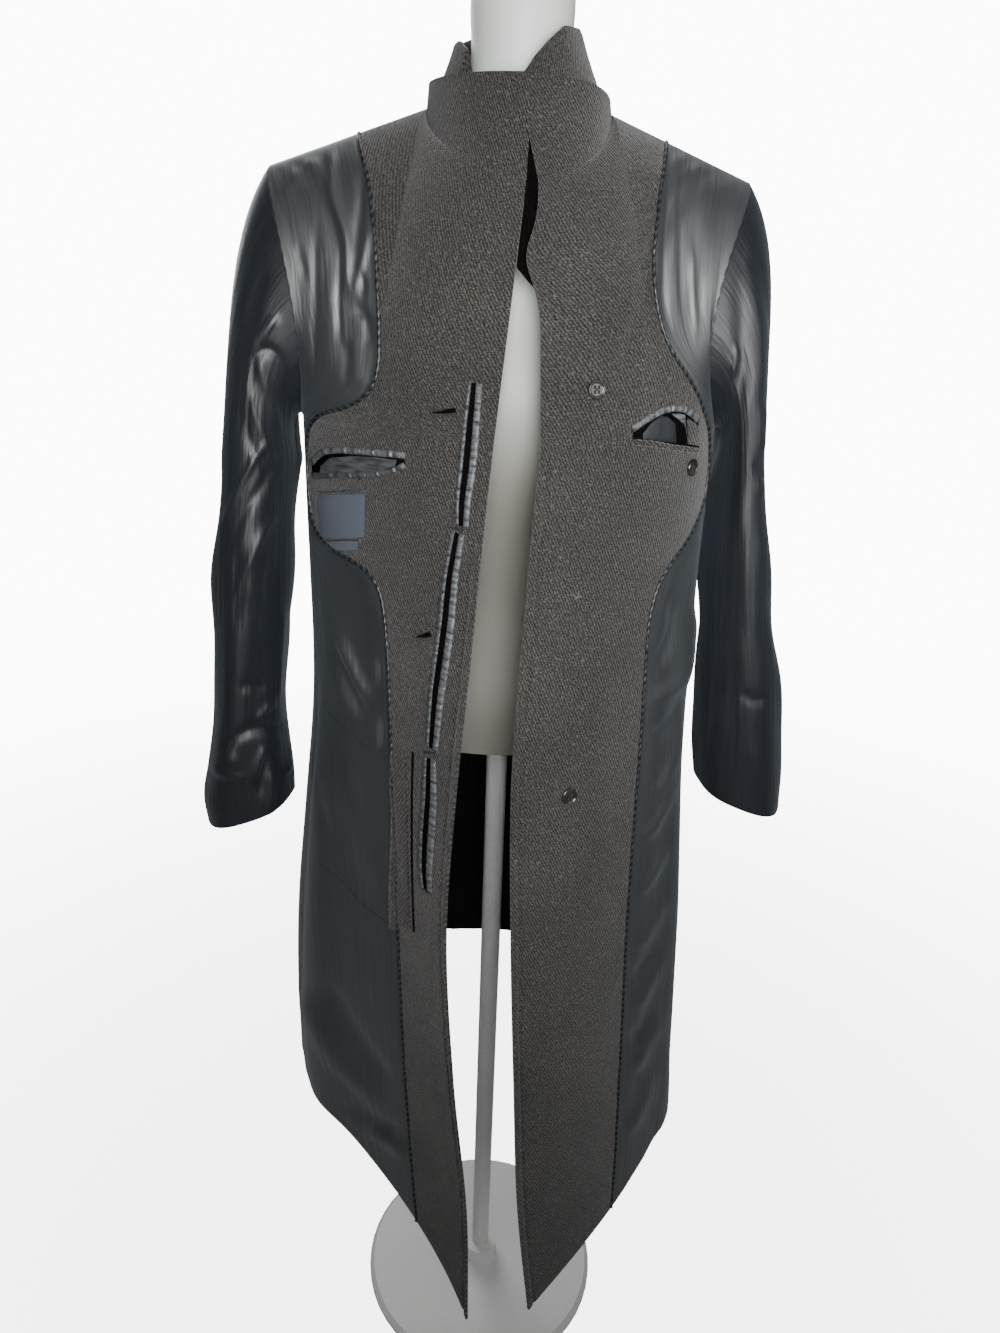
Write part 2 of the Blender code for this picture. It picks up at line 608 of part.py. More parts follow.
def build_front_lining(side, name, parent):
    """Satin lining from the facing's edge to the side seam and the armhole."""
    rows = panel_rows(side)
    start = facing_share(side, rows) + half_gap(side, rows)
    columns = np.linspace(0.0, 1.0, 7)
    share = start[:, None] + (END_SHARE - start)[:, None] * columns[None, :]
    outer, normals = sheet_and_normals(front_sheet, side, rows, share)
    high = rows >= UNDERARM_Z
    shares = 0.5 * (rows[high] - UNDERARM_Z) / (SHOULDER_ROW - UNDERARM_Z)
    normals[high, -1] = armhole_seam(side, shares)[1]
    points, faces = wall_mesh(outer, outer - normals * LINING_WALL)
    return add_solid(name, points, faces, "satin", parent)


def back_rows():
    """Heights of the back's rows, closer together over the shoulder blades."""
    keys = np.array([section[0] for section in FLY_FRONT])
    low = np.sort(np.concatenate([keys, (keys[1:] + keys[:-1]) / 2]))
    shares = np.array([0.2, 0.4, 0.58, 0.74, 0.86, 0.94, 0.98, 0.995, 1.0])
    return np.concatenate([low, UNDERARM_Z + (SHOULDER_ROW - UNDERARM_Z) * shares])


def back_grid(side, rows):
    """Points and outward directions of a back half, its seams half a seam gap short of their lines."""
    share = np.linspace(1 - END_SHARE, 1.0, 10)
    outer, normals = sheet_and_normals(back_sheet, side, rows, share)
    outer[:, -1, 0] = side * SEAM_GAP / 2
    return outer, normals


def build_back_lining(side, name, parent):
    """Half of the back lining, from the side seam to the seam down the middle of the back."""
    rows = back_rows()
    outer, normals = back_grid(side, rows)
    high = rows >= UNDERARM_Z
    shares = 1 - 0.5 * (rows[high] - UNDERARM_Z) / (SHOULDER_ROW - UNDERARM_Z)
    normals[high, 0] = armhole_seam(side, shares)[1]
    outer, normals = outer[::-1], normals[::-1]
    points, faces = wall_mesh(outer, outer - normals * LINING_WALL)
    return add_solid(name, points, faces, "satin", parent)


def build_vent(name, parent):
    """Wool underlap of the back vent, which lies against the inside of the fly side's back."""
    rows = back_rows()
    outer, normals = back_grid(-1, rows)
    low = rows < VENT_TOP_Z
    outer, normals = outer[low, -2:], normals[low, -2:]
    step = np.array([VENT_INSET, 1 - VENT_INSET])[None, :, None]
    outer = outer[:, :1] * (1 - step) + outer[:, 1:] * step
    normals = normals[:, :1] * (1 - step) + normals[:, 1:] * step
    outer[0] += (outer[1] - outer[0]) * VENT_INSET
    outer = outer - normals * (LINING_WALL + LAY_GAP)
    points, faces = wall_mesh(outer, outer - normals * WOOL_WALL)
    return add_solid(name, points, faces, "wool", parent)


def armhole_loop(side, shares):
    """The seam of the sleeve: up the front of the armhole to the shoulder tip and down its back."""
    front = np.clip(shares / 0.5, 0, 1)
    back = np.clip((1 - shares) / 0.5, 0, 1)
    span = SHOULDER_ROW - UNDERARM_Z
    on_front = np.array([front_sheet(side, [UNDERARM_Z + span * f], np.array([1.0]))[0, 0] for f in front])
    on_back = np.array([back_sheet(side, [UNDERARM_Z + span * b], np.array([0.0]))[0, 0] for b in back])
    return np.where((shares <= 0.5)[:, None], on_front, on_back)


def sleeve_ring(side, rows, shares, tilt=0.0):
    """Rings of the sleeve: share 0 is against the body, 0.25 in front, 0.5 outside, 0.75 behind."""
    table = FLY_SLEEVE if side < 0 else BUTTON_SLEEVE
    table = np.array(table)[::-1]
    inner, outer, middle_y, half_depth = (smooth_column(table, i, rows) for i in range(1, 5))
    angle = 2 * math.pi * shares
    x = side * ((inner + outer) / 2 - (outer - inner) / 2 * np.cos(angle))
    y = middle_y - half_depth * np.sin(angle)
    z = rows + tilt * np.cos(angle)
    return vectors(x, y, z)


def sleeve_start(side, shares):
    """Where the sleeve leaves the armhole and the direction in which it leaves."""
    loop = armhole_loop(side, shares)
    crown = np.clip((loop[:, 2] - UNDERARM_Z) / (SHOULDER_TIPS[side][2] - UNDERARM_Z), 0, 1)
    slope = UNDERARM_SLOPE + (CROWN_SLOPE - UNDERARM_SLOPE) * crown
    out = vectors(side + 0 * crown, 0 * crown, -slope)
    return loop, out / np.linalg.norm(out, axis=1, keepdims=True)


def armhole_seam(side, shares):
    """Armhole points and the directions, half way between panel and sleeve, that both walls end along."""
    step = 0.004
    loop, out = sleeve_start(side, shares)
    ahead = armhole_loop(side, (shares + step) % 1.0)
    behind = armhole_loop(side, (shares - step) % 1.0)
    sleeve = side * np.cross(out, ahead - behind)
    sleeve /= np.linalg.norm(sleeve, axis=1, keepdims=True)
    span = SHOULDER_ROW - UNDERARM_Z
    panel = []
    for share in shares:
        if share <= 0.5:
            sheet, row, edge = front_sheet, UNDERARM_Z + span * share / 0.5, 1.0
        else:
            sheet, row, edge = back_sheet, UNDERARM_Z + span * (1 - share) / 0.5, 0.0
        panel.append(sheet_and_normals(sheet, side, [row], np.array([edge]))[1][0, 0])
    panel = np.array(panel)
    middle = sleeve + panel
    middle[np.abs(shares - 0.5) < 0.001, 1] = 0.0
    return loop, middle / np.linalg.norm(middle, axis=1, keepdims=True)


def sleeve_sheet(side, levels, shares):
    """Outer face of the sleeve.  Levels 0 to 1 go from the armhole to the ring below it, by a cubic that
    leaves the armhole sideways and arrives hanging straight down; levels 1 to 2 go on to the cuff."""
    table = FLY_SLEEVE if side < 0 else BUTTON_SLEEVE
    top_z, cuff_z = table[0][0], table[-1][0]
    loop, out = sleeve_start(side, shares)
    ring = sleeve_ring(side, np.full(len(shares), top_z), shares)
    reach = CAP_REACH * np.linalg.norm(ring - loop, axis=1)
    leave = loop + out * reach[:, None]
    arrive = ring + vectors(0 * reach, 0 * reach, reach)
    rows = []
    for level in levels:
        if level <= 1:
            row = bezier([loop, leave, arrive, ring], np.full(len(shares), level))
        else:
            down = level - 1
            height = np.full(len(shares), top_z + (cuff_z - top_z) * down)
            row = sleeve_ring(side, height, shares, CUFF_TILT * down ** 2)
        rows.append(row)
    return np.array(rows)


def sleeve_shares(side, part):
    """Columns of the sleeve: they meet the rows of the front and back linings at the armhole."""
    span = SHOULDER_ROW - UNDERARM_Z
    front = [0.5 * (row - UNDERARM_Z) / span for row in panel_rows(side) if row >= UNDERARM_Z]
    back = [1 - 0.5 * (row - UNDERARM_Z) / span for row in back_rows()[::-1] if row >= UNDERARM_Z]
    shares = np.array([0.0] * (front[0] > 0.001) + front + back[1:])
    front_seam = shares[np.argmin(np.abs(shares - TOP_SLEEVE_SHARE[0]))]
    back_seam = shares[np.argmin(np.abs(shares - TOP_SLEEVE_SHARE[1]))]
    if part == "top":
        return shares[(shares >= front_seam) & (shares <= back_seam)]
    low = shares[(shares > 0.001) & (shares <= front_seam)]
    return np.concatenate([shares[shares >= back_seam], 1 + low])


def build_sleeve(side, part, name, parent):
    """Top sleeve (outside) or under sleeve (against the body), a wall cut along its two seams."""
    shares = sleeve_shares(side, part)
    levels = np.concatenate([CAP_LEVELS, 1 + np.linspace(0.0, 1.0, 11)[1:]])
    step = 0.002
    outer = sleeve_sheet(side, levels, shares % 1.0)
    ahead = sleeve_sheet(side, levels, (shares + step) % 1.0)
    behind = sleeve_sheet(side, levels, (shares - step) % 1.0)
    normals = np.cross(ahead - behind, np.gradient(outer, axis=0))
    normals /= np.linalg.norm(normals, axis=-1, keepdims=True)
    centre = sleeve_sheet(side, levels, np.linspace(0, 1, 24, endpoint=False)).mean(axis=1)
    normals *= np.sign(((outer - centre[:, None]) * normals)[8].sum())
    around = (ahead - behind) / np.linalg.norm(ahead - behind, axis=-1, keepdims=True)
    outer[:, 0] += around[:, 0] * SEAM_GAP / 2
    outer[:, -1] -= around[:, -1] * SEAM_GAP / 2
    normals[0] = armhole_seam(side, shares % 1.0)[1]
    outer[0] += sleeve_start(side, shares % 1.0)[1] * 1.5 * SEAM_GAP
    points, faces = wall_mesh(outer, outer - normals * LINING_WALL)
    return add_solid(name, points, faces, "satin", parent)


def collar_line(angles):
    """Base and top edge of the standing collar at angles from the front, in radians."""
    half = np.abs(angles)
    side = np.sign(angles)
    fly = np.interp(np.degrees(half), [-a for a, _ in COLLAR_TOP], [z for _, z in COLLAR_TOP])
    button = np.interp(np.degrees(half), [a for a, _ in COLLAR_TOP_BUTTON], [z for _, z in COLLAR_TOP_BUTTON])
    top_z = np.where(side < 0, fly, button)
    front = np.cos(half) > 0
    inside = np.interp(np.degrees(half), [80, 112], [COLLAR_INSIDE, 1.0])
    reach = np.where(front, COLLAR_BASE_FRONT, NECK_BACK_REACH)
    base_x = NECK_HALF_WIDTH * inside * np.sin(angles)
    base_y = -reach * inside * np.cos(angles)
    turn = np.clip((np.degrees(half) - 90) / 90, 0, 1)
    lift = np.interp(np.degrees(half), [0, 60, 80, 92, 100], [0.040, 0.026, 0.010, 0.0025, 0.0006])
    at_side = np.clip(np.degrees(half) / 90, 0, 1)
    base_z = NECK_FRONT_Z + (NECK_SIDE_Z - NECK_FRONT_Z) * at_side ** 1.5
    base_z = base_z + (NECK_BACK_Z - NECK_SIDE_Z) * turn + lift
    top_x = COLLAR_TOP_SHIFT + COLLAR_TOP_HALF_WIDTH * np.sin(angles)
    top_reach = np.where(front, COLLAR_TOP_FRONT, COLLAR_TOP_BACK)
    top_y = -top_reach * np.cos(angles)
    return vectors(base_x, base_y, base_z), vectors(top_x, top_y, top_z)


def build_collar(name, parent):
    """Collar turned up round the neck, a band that leans in and ends in two wings at the front."""
    start = math.radians(COLLAR_TOP[0][0])
    end = math.radians(COLLAR_TOP_BUTTON[0][0] - 360)
    angles = np.linspace(start, end, 29)
    wrapped = np.where(angles < -math.pi, angles + 2 * math.pi, angles)
    base, top = collar_line(wrapped)
    levels = (0.0, 0.35, 0.7, 1.0)
    outer = np.array([base + (top - base) * level for level in levels])
    normals = vectors(np.sin(wrapped), -np.cos(wrapped), 0.15 + 0 * wrapped)
    normals /= np.linalg.norm(normals, axis=-1, keepdims=True)
    points, faces = wall_mesh(outer, outer - normals[None] * COLLAR_WALL)
    return add_solid(name, points, faces, "wool", parent)


def dense_line(line, pieces):
    """Evenly spaced places along a line drawn as (x, z) points, its corners a little rounded."""
    line = np.array(line)
    run = np.concatenate([[0], np.cumsum(np.linalg.norm(np.diff(line, axis=0), axis=1))])
    at = np.linspace(0, run[-1], pieces + 1)
    rough = np.array([[np.interp(a, run, line[:, 0]), np.interp(a, run, line[:, 1])] for a in at])
    if len(rough) > 2:
        rough[1:-1] = 0.25 * rough[:-2] + 0.5 * rough[1:-1] + 0.25 * rough[2:]
    return rough


@functools.cache
def panel_tree(name):
    """Search tree of one finished panel's faces."""
    mesh = bpy.data.objects[name].data
    mesh.calc_loop_triangles()
    triangles = [tuple(t.vertices) for t in mesh.loop_triangles]
    return BVHTree.FromPolygons([v.co.copy() for v in mesh.vertices], triangles)


def on_cloth(side, x, z, lift):
    """The point of a facing's outer face at x and z, moved out by lift, and the way out there."""
    tree = panel_tree("facing_fly_side" if side < 0 else "facing_button_side")
    away = 0.006
    found = []
    for dx, dz in ((0, 0), (away, 0), (-away, 0), (0, away), (0, -away)):
        hit = tree.ray_cast(Vector((side * x + dx, -1.0, z + dz)), Vector((0, 1, 0)))
        found.append(hit if hit[0] else found[0])
    normal = sum((np.array(hit[1]) for hit in found), np.zeros(3))
    normal /= np.linalg.norm(normal)
    return np.array(found[0][0]) + normal * lift, normal


def build_band(side, line, shift, width, height, name, finish, parent, pieces=9):
    """A flat band of cloth that lies on a facing along a line; shift moves it sideways off the line."""
    rough = dense_line(line, pieces)
    course = np.gradient(rough, axis=0)
    course /= np.linalg.norm(course, axis=1, keepdims=True)
    aside = np.stack([-course[:, 1], course[:, 0]], axis=1)
    outer, inner = [], []
    for place, way in zip(rough, aside):
        top_row, low_row = [], []
        for edge in (-0.5, 0.5):
            x, z = place + way * (shift + edge * width)
            point, normal = on_cloth(side, x, z, LAY_GAP)
            low_row.append(point)
            top_row.append(point + normal * height)
        outer.append(top_row)
        inner.append(low_row)
    points, faces = wall_mesh(np.array(outer), np.array(inner))
    return add_solid(name, points, faces, finish, parent)


def build_patch(side, box, height, name, finish, parent, cells=(6, 4)):
    """A label: a small flat patch that follows the facing under it."""
    x_far, x_near, z_top, z_low = box
    outer, inner = [], []
    for z in np.linspace(z_top, z_low, cells[1] + 1):
        found = [on_cloth(side, x, z, LAY_GAP) for x in np.linspace(x_far, x_near, cells[0] + 1)]
        inner.append([point for point, _ in found])
        outer.append([point + normal * height for point, normal in found])
    points, faces = wall_mesh(np.array(outer), np.array(inner))
    return add_solid(name, points, faces, finish, parent)


def turned(profile, sides, centre, axis):
    """A turned solid: (radius, height) points from the axis at the bottom to the axis at the top."""
    axis = np.asarray(axis, float)
    guide = np.array([0.0, 0.0, 1.0]) if abs(axis[2]) < 0.9 else np.array([1.0, 0.0, 0.0])
    first = np.cross(guide, axis)
    first /= np.linalg.norm(first)
    second = np.cross(axis, first)
    angles = np.linspace(0, 2 * math.pi, sides, endpoint=False)
    around = np.cos(angles)[:, None] * first + np.sin(angles)[:, None] * second
    points = [np.asarray(centre) + axis * profile[0][1]]
    for radius, height in profile[1:-1]:
        points += list(np.asarray(centre) + around * radius + axis * height)
    points.append(np.asarray(centre) + axis * profile[-1][1])
    faces = [(0, 1 + (k + 1) % sides, 1 + k) for k in range(sides)]
    for ring in range(len(profile) - 3):
        low, high = 1 + ring * sides, 1 + (ring + 1) * sides
        faces += [(low + k, low + (k + 1) % sides, high + (k + 1) % sides, high + k) for k in range(sides)]
    last = 1 + (len(profile) - 3) * sides
    faces += [(last + k, last + (k + 1) % sides, len(points) - 1) for k in range(sides)]
    return np.array(points), faces


def build_button(name, centre, axis, radius, height, parent):
    """A round button with a rim and a dished middle, its back against the cloth."""
    profile = (
        (0.0, 0.0), (0.88 * radius, 0.0), (radius, 0.45 * height), (0.92 * radius, height),
        (BUTTON_RIM * radius, height), (0.6 * radius, height - BUTTON_DISH), (0.0, height - BUTTON_DISH),
    )
    points, faces = turned(profile, BUTTON_SIDES, centre, axis)
    return add_solid(name, points, faces, "button", parent)


def seat_height(side, centre, out, radius, way):
    """Greatest height of the facing, along out, under a disc round the centre; way is +1 for the outer
    face and -1 for the inner face."""
    tree = panel_tree("facing_fly_side" if side < 0 else "facing_button_side")
    first = np.cross(out, (0.0, 0.0, 1.0))
    first /= np.linalg.norm(first)
    second = np.cross(out, first)
    heights = []
    for angle in np.linspace(0, 2 * math.pi, 12, endpoint=False):
        for share in (0.5, 1.0):
            start = centre + (first * math.cos(angle) + second * math.sin(angle)) * radius * share
            hit = tree.ray_cast(Vector(start + out * way * 0.02), Vector(-out * way))
            if hit[0]:
                heights.append(way * float(np.dot(np.array(hit[0]) - centre, out)))
    return max(heights)


def build_buttons(parent):
    """Stay buttons on the facing, the front buttons behind them on the wool side, and the pocket button."""
    places = [(f"stay_button_{word}", x, z, 1, STAY_BUTTON_RADIUS, STAY_BUTTON_HEIGHT)
              for word, x, z in BUTTON_PLACES if word != "middle"]
    places += [(f"front_button_{word}", x, z, -1, FRONT_BUTTON_RADIUS, FRONT_BUTTON_HEIGHT)
               for word, x, z in BUTTON_PLACES]
    places.append(("pocket_button", *POCKET_BUTTON_PLACE, 1, STAY_BUTTON_RADIUS, STAY_BUTTON_HEIGHT))
    for name, x, z, way, radius, height in places:
        centre, out = on_cloth(1, x, z, 0.0)
        lift = seat_height(1, centre, out, radius, way) + SEAM_GAP
        build_button(name, centre + out * way * lift, out * way, radius, height, parent)


def ridge_reach(side, z):
    """How far from the middle plane the coat's shoulder line is at a height, as far as the ridge goes."""
    tip = SHOULDER_TIPS[side]
    slope = (NECK_SIDE_Z - tip[2]) / (tip[0] - NECK_HALF_WIDTH)
    return min(NECK_HALF_WIDTH + (NECK_SIDE_Z - z) / slope, RIDGE_END)


def form_ring(angles, z, half_widths, front, back, power=2.0):
    """One level of the dress form: an oval, or with a lower power a shape that tapers to its two ends."""
    across = np.sign(np.sin(angles)) * np.abs(np.sin(angles)) ** (2 / power)
    through = np.sign(np.cos(angles)) * np.abs(np.cos(angles)) ** (2 / power)
    width = np.where(across < 0, half_widths[0], half_widths[1])
    depth = np.where(through > 0, front, back)
    return vectors(width * across, -depth * through, z + 0 * angles)


def build_form(parent):
    """Torso and neck of the dress form, one smooth solid with a socket for the pole in its flat underside."""
    table = np.array(FORM_SECTIONS)
    angles = np.linspace(0, 2 * math.pi, FORM_SIDES, endpoint=False)
    body_levels = np.append(np.linspace(table[0, 0], table[-2, 0], 12), table[-1, 0])
    body = [smooth_column(table, i, body_levels) for i in (1, 2, 3)]
    rings = [form_ring(angles, z, (w, w), f, b) for z, w, f, b in zip(body_levels, *body)]
    for z, drop, depth, power in RIDGE_SECTIONS:
        reach = (ridge_reach(-1, z + drop), ridge_reach(1, z + drop))
        rings.append(form_ring(angles, z, reach, depth, depth, power))
    for z, half_width, front, back in NECK_SECTIONS:
        rings.append(form_ring(angles, z, (half_width, half_width), front, back))
    cap = rings[-1] * (NECK_CAP_SHARE, NECK_CAP_SHARE, 1)
    cap[:, 2] = NECK_CAP_Z
    rings.append(cap)
    hole = POLE_RADIUS + POLE_CLEARANCE
    rim = vectors(hole * np.sin(angles), -hole * np.cos(angles), FORM_SECTIONS[0][0] + 0 * angles)
    roof = rim + (0, 0, POLE_SOCKET_DEPTH)
    rings = [roof, rim] + rings
    points = np.concatenate(rings)
    faces = []
    for r in range(len(rings) - 1):
        low, high = r * FORM_SIDES, (r + 1) * FORM_SIDES
        faces += [
            (low + k, low + (k + 1) % FORM_SIDES, high + (k + 1) % FORM_SIDES, high + k)
            for k in range(FORM_SIDES)
        ]
    last = (len(rings) - 1) * FORM_SIDES
    faces.append(tuple(last + k for k in range(FORM_SIDES)))
    faces.append(tuple(reversed(range(FORM_SIDES))))
    return add_solid("form_torso", points, faces, "form", parent)


def build_stand(parent):
    """Round base plate with a boss, and the pole that stands on it and goes up into the form."""
    profile = (
        (0.0, 0.0), (BASE_RADIUS, 0.0), (BASE_RADIUS, BASE_EDGE), (BASE_RADIUS - 0.006, BASE_TOP),
        (BASE_BOSS_RADIUS, BASE_TOP), (BASE_BOSS_RADIUS, BASE_BOSS_TOP), (0.0, BASE_BOSS_TOP),
    )
    points, faces = turned(profile, BASE_SIDES, (0, 0, 0), (0, 0, 1))
    add_solid("stand_base", points, faces, "steel", parent)
    low = BASE_BOSS_TOP + LAY_GAP
    top = FORM_SECTIONS[0][0] + POLE_SOCKET_DEPTH - LAY_GAP
    profile = ((0.0, low), (POLE_RADIUS, low), (POLE_RADIUS, top), (0.0, top))
    points, faces = turned(profile, POLE_SIDES, (0, 0, 0), (0, 0, 1))
    add_solid("stand_pole", points, faces, "steel", parent)


def build_trim(parent):
    """Piping, welts, labels and the pocket strip that lie on the facings."""
    for word, line in FLY_SLITS:
        for end, sign in (("edge", 1), ("body", -1)):
            shift = sign * (SLIT_HALF_GAP + SLIT_PIPING_WIDTH / 2)
            name = f"fly_piping_{word}_{end}"
            build_band(-1, line, shift, SLIT_PIPING_WIDTH, PIPING_HEIGHT, name, "satin_trim", parent)
    welts = (
        ("fly_pocket_welt_upper", -1, FLY_POCKET_UPPER),
        ("fly_pocket_welt_lower", -1, FLY_POCKET_LOWER),
        ("button_pocket_welt_upper", 1, BUTTON_POCKET_UPPER),
        ("button_pocket_welt_lower", 1, BUTTON_POCKET_LOWER),
    )
    for name, side, line in welts:
        build_band(side, line, 0.0, WELT_WIDTH, PIPING_HEIGHT, name, "satin_trim", parent)
    width, height = SIDE_POCKET_WIDTH, PIPING_HEIGHT
    build_band(-1, SIDE_POCKET_LINE, 0.0, width, height, "side_pocket_strip", "wool", parent)
    build_patch(-1, LABEL_BOX, LABEL_HEIGHT, "label", "label", parent)
    build_patch(-1, CARE_LABEL_BOX, LABEL_HEIGHT, "care_label", "label", parent, cells=(3, 1))


def main():
    for old in list(bpy.data.objects):
        bpy.data.objects.remove(old)
    coat = bpy.data.objects.new("coat", None)
    stand = bpy.data.objects.new("stand", None)
    for empty in (coat, stand):
        bpy.context.scene.collection.objects.link(empty)
    build_stand(stand)
    build_form(stand)
    for side, word in ((-1, "fly"), (1, "button")):
        build_facing(side, f"facing_{word}_side", coat)
        build_front_lining(side, f"front_lining_{word}_side", coat)
        build_back_lining(side, f"back_lining_{word}_side", coat)
        build_sleeve(side, "top", f"top_sleeve_{word}_side", coat)
        build_sleeve(side, "under", f"under_sleeve_{word}_side", coat)
    build_vent("back_vent_underlap", coat)
    build_collar("collar", coat)
    build_trim(coat)
    build_buttons(coat)


main()
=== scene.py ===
"""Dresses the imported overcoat: finer cloth with its creases, seams, trim and weave, over the same frame.

The coat hangs inside out on a limbless form.  As seen from the front, the fly side is at -X and the
button side at +X.  The front faces -Y, +Z is up and the floor is at z = 0.  Metres.
"""

import math

import bpy
import numpy as np
from mathutils import Matrix


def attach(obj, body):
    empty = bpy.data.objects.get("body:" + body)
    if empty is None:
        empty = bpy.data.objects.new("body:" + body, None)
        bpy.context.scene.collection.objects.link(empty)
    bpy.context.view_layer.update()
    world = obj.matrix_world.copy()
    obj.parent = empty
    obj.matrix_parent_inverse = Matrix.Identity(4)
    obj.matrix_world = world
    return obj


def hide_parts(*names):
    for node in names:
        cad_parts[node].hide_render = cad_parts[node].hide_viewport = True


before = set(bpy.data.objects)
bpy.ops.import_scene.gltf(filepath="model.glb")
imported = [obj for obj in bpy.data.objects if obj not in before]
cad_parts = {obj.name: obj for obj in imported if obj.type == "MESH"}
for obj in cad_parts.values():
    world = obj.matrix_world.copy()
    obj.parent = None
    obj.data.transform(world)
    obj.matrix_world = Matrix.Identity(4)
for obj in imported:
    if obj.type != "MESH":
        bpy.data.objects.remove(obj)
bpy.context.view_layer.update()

bl_info = {
    "name": "Overcoat on a dress form",
    "version": (1, 0, 0),
    "blender": (4, 5, 0),
    "location": "3D View > Sidebar > Overcoat",
    "description": "Makes the cloth, trim, form and stage of an overcoat that hangs inside out",
    "category": "Object",
}

# Levels and rings of the coat, as in its source
SIDES = {"fly": -1, "button": 1}
UNDERARM_Z = 1.25
SHOULDER_ROW = 1.50
NECK_SIDE_Z = 1.522
NECK_BACK_Z = 1.536
NECK_FRONT_Z = 1.462
LAPEL_TOP_Z = 1.540
NECK_HALF_WIDTH = 0.084
NECK_FRONT_REACH = 0.102
NECK_BACK_REACH = 0.074
LAPEL_TOP_REACH = 0.090
LAPEL_TOP_HALF_WIDTH = 0.082
NECK_COLUMN = 0.50
BACK_NECK_COLUMN = 0.45
BUTTON_SIDE_TUCK = 0.007
NECK_EDGE_X = {-1: 0.008, 1: 0.019}
LAPEL_EDGE_X = {-1: 0.010, 1: -0.004}
LAPEL_ROW = 1.36
LAPEL_DROOP = {-1: 0.0, 1: 0.012}
EDGE_DIP = 0.011
EDGE_DIP_ROW = 1.428
SHOULDER_TIPS = {-1: (0.230, 0.002, 1.472), 1: (0.216, 0.002, 1.471)}
ARMHOLE_FRONT_BOW = 0.064
ARMHOLE_BACK_BOW = 0.050
ARMHOLE_IN = {-1: 0.018, 1: 0.028}
HEM_RISE = {-1: 0.026, 1: 0.0}
HEM_REACH = 0.09
SIDE_RUN_FRONT = 0.42
SIDE_RUN_BACK = 0.60
BACK_RUN = 0.60
SEAM_GAP = 0.0003
# Highest row that small things are placed on
PLACING_TOP = 1.49

# Front edge and side seam of each half.
# Columns: row_z, edge_x, edge_y, turn, run, side_x, side_y, edge_drop
FLY_FRONT = (
    (0.385, -0.012, -0.305, 60.0, 0.160, 0.262, 0.060, 0.062),
    (0.500, -0.016, -0.286, 57.0, 0.150, 0.259, 0.045, 0.045),
    (0.650, -0.034, -0.259, 54.0, 0.138, 0.2455, 0.016, 0.030),
    (0.800, -0.0445, -0.232, 48.0, 0.130, 0.228, 0.008, 0.015),
    (0.950, -0.037, -0.205, 40.0, 0.122, 0.211, 0.000, 0.005),
    (1.100, -0.024, -0.174, 25.0, 0.115, 0.2075, -0.004, 0.000),
    (1.250, -0.012, -0.148, 9.0, 0.110, 0.207, -0.006, 0.000),
)
BUTTON_FRONT = (
    (0.385, 0.056, -0.300, 44.0, 0.110, 0.250, 0.030, 0.050),
    (0.500, 0.040, -0.283, 36.0, 0.112, 0.240, 0.024, 0.038),
    (0.650, 0.029, -0.256, 28.0, 0.114, 0.231, 0.016, 0.026),
    (0.800, 0.020, -0.230, 20.0, 0.114, 0.2215, 0.008, 0.014),
    (0.950, 0.015, -0.203, 14.0, 0.112, 0.213, 0.000, 0.005),
    (1.100, 0.021, -0.172, 9.0, 0.110, 0.207, -0.004, 0.000),
    (1.250, 0.029, -0.148, 6.0, 0.108, 0.207, -0.006, 0.000),
)
FRONTS = {-1: FLY_FRONT, 1: BUTTON_FRONT}
HEM_ROW = FLY_FRONT[0][0]
# Distances between rows: of a front, of a front where its facing's line turns, and of the back
FRONT_STEP = 0.006
TURN_STEP = 0.0025
BACK_STEP = 0.007
# Columns: row_z, back_y, back_lift
BACK_SECTIONS = (
    (0.385, 0.236, 0.042),
    (0.500, 0.224, 0.034),
    (0.650, 0.206, 0.024),
    (0.800, 0.184, 0.014),
    (0.950, 0.162, 0.006),
    (1.100, 0.142, 0.000),
    (1.250, 0.134, 0.000),
)
# Edge of the wool facing.  Columns: row_z, x
FACING_LINES = {
    -1: (
        (0.385, 0.074), (0.450, 0.080), (0.600, 0.090), (0.750, 0.096), (0.850, 0.101), (0.950, 0.105),
        (1.040, 0.109), (1.085, 0.113), (1.106, 0.118), (1.120, 0.130), (1.126, 0.150), (1.131, 0.170),
        (1.140, 0.190), (1.165, 0.198), (1.210, 0.199), (1.242, 0.194), (1.258, 0.180), (1.271, 0.140),
        (1.284, 0.123), (1.305, 0.1165), (1.340, 0.1175), (1.400, 0.122), (1.450, 0.130), (1.500, 0.145),
    ),
    1: (
        (0.385, 0.154), (0.450, 0.154), (0.600, 0.150), (0.750, 0.145), (0.850, 0.144), (0.950, 0.144),
        (1.020, 0.143), (1.080, 0.142), (1.112, 0.148), (1.133, 0.162), (1.148, 0.178), (1.166, 0.191),
        (1.190, 0.199), (1.220, 0.199), (1.250, 0.194), (1.280, 0.180), (1.296, 0.170), (1.310, 0.158),
        (1.322, 0.145), (1.340, 0.133), (1.365, 0.125), (1.400, 0.122), (1.450, 0.126), (1.500, 0.134),
    ),
}
# Columns: side, across (0 front edge, 1 side, 2 middle of the back), row_z, half_length, half_width, ridge
FOLDS = (
    (-1, 0.66, 0.62, 0.30, 0.10, 0.010),
    (-1, 0.86, 0.72, 0.34, 0.08, -0.007),
    (-1, 1.22, 0.60, 0.36, 0.12, 0.012),
    (-1, 1.46, 0.58, 0.34, 0.10, -0.008),
    (-1, 1.70, 0.56, 0.32, 0.11, 0.010),
    (1, 0.74, 0.60, 0.30, 0.09, 0.009),
    (1, 0.90, 0.66, 0.32, 0.07, -0.006),
    (1, 1.20, 0.60, 0.36, 0.12, 0.012),
    (1, 1.44, 0.58, 0.34, 0.10, -0.008),
    (1, 1.70, 0.56, 0.32, 0.11, 0.010),
)
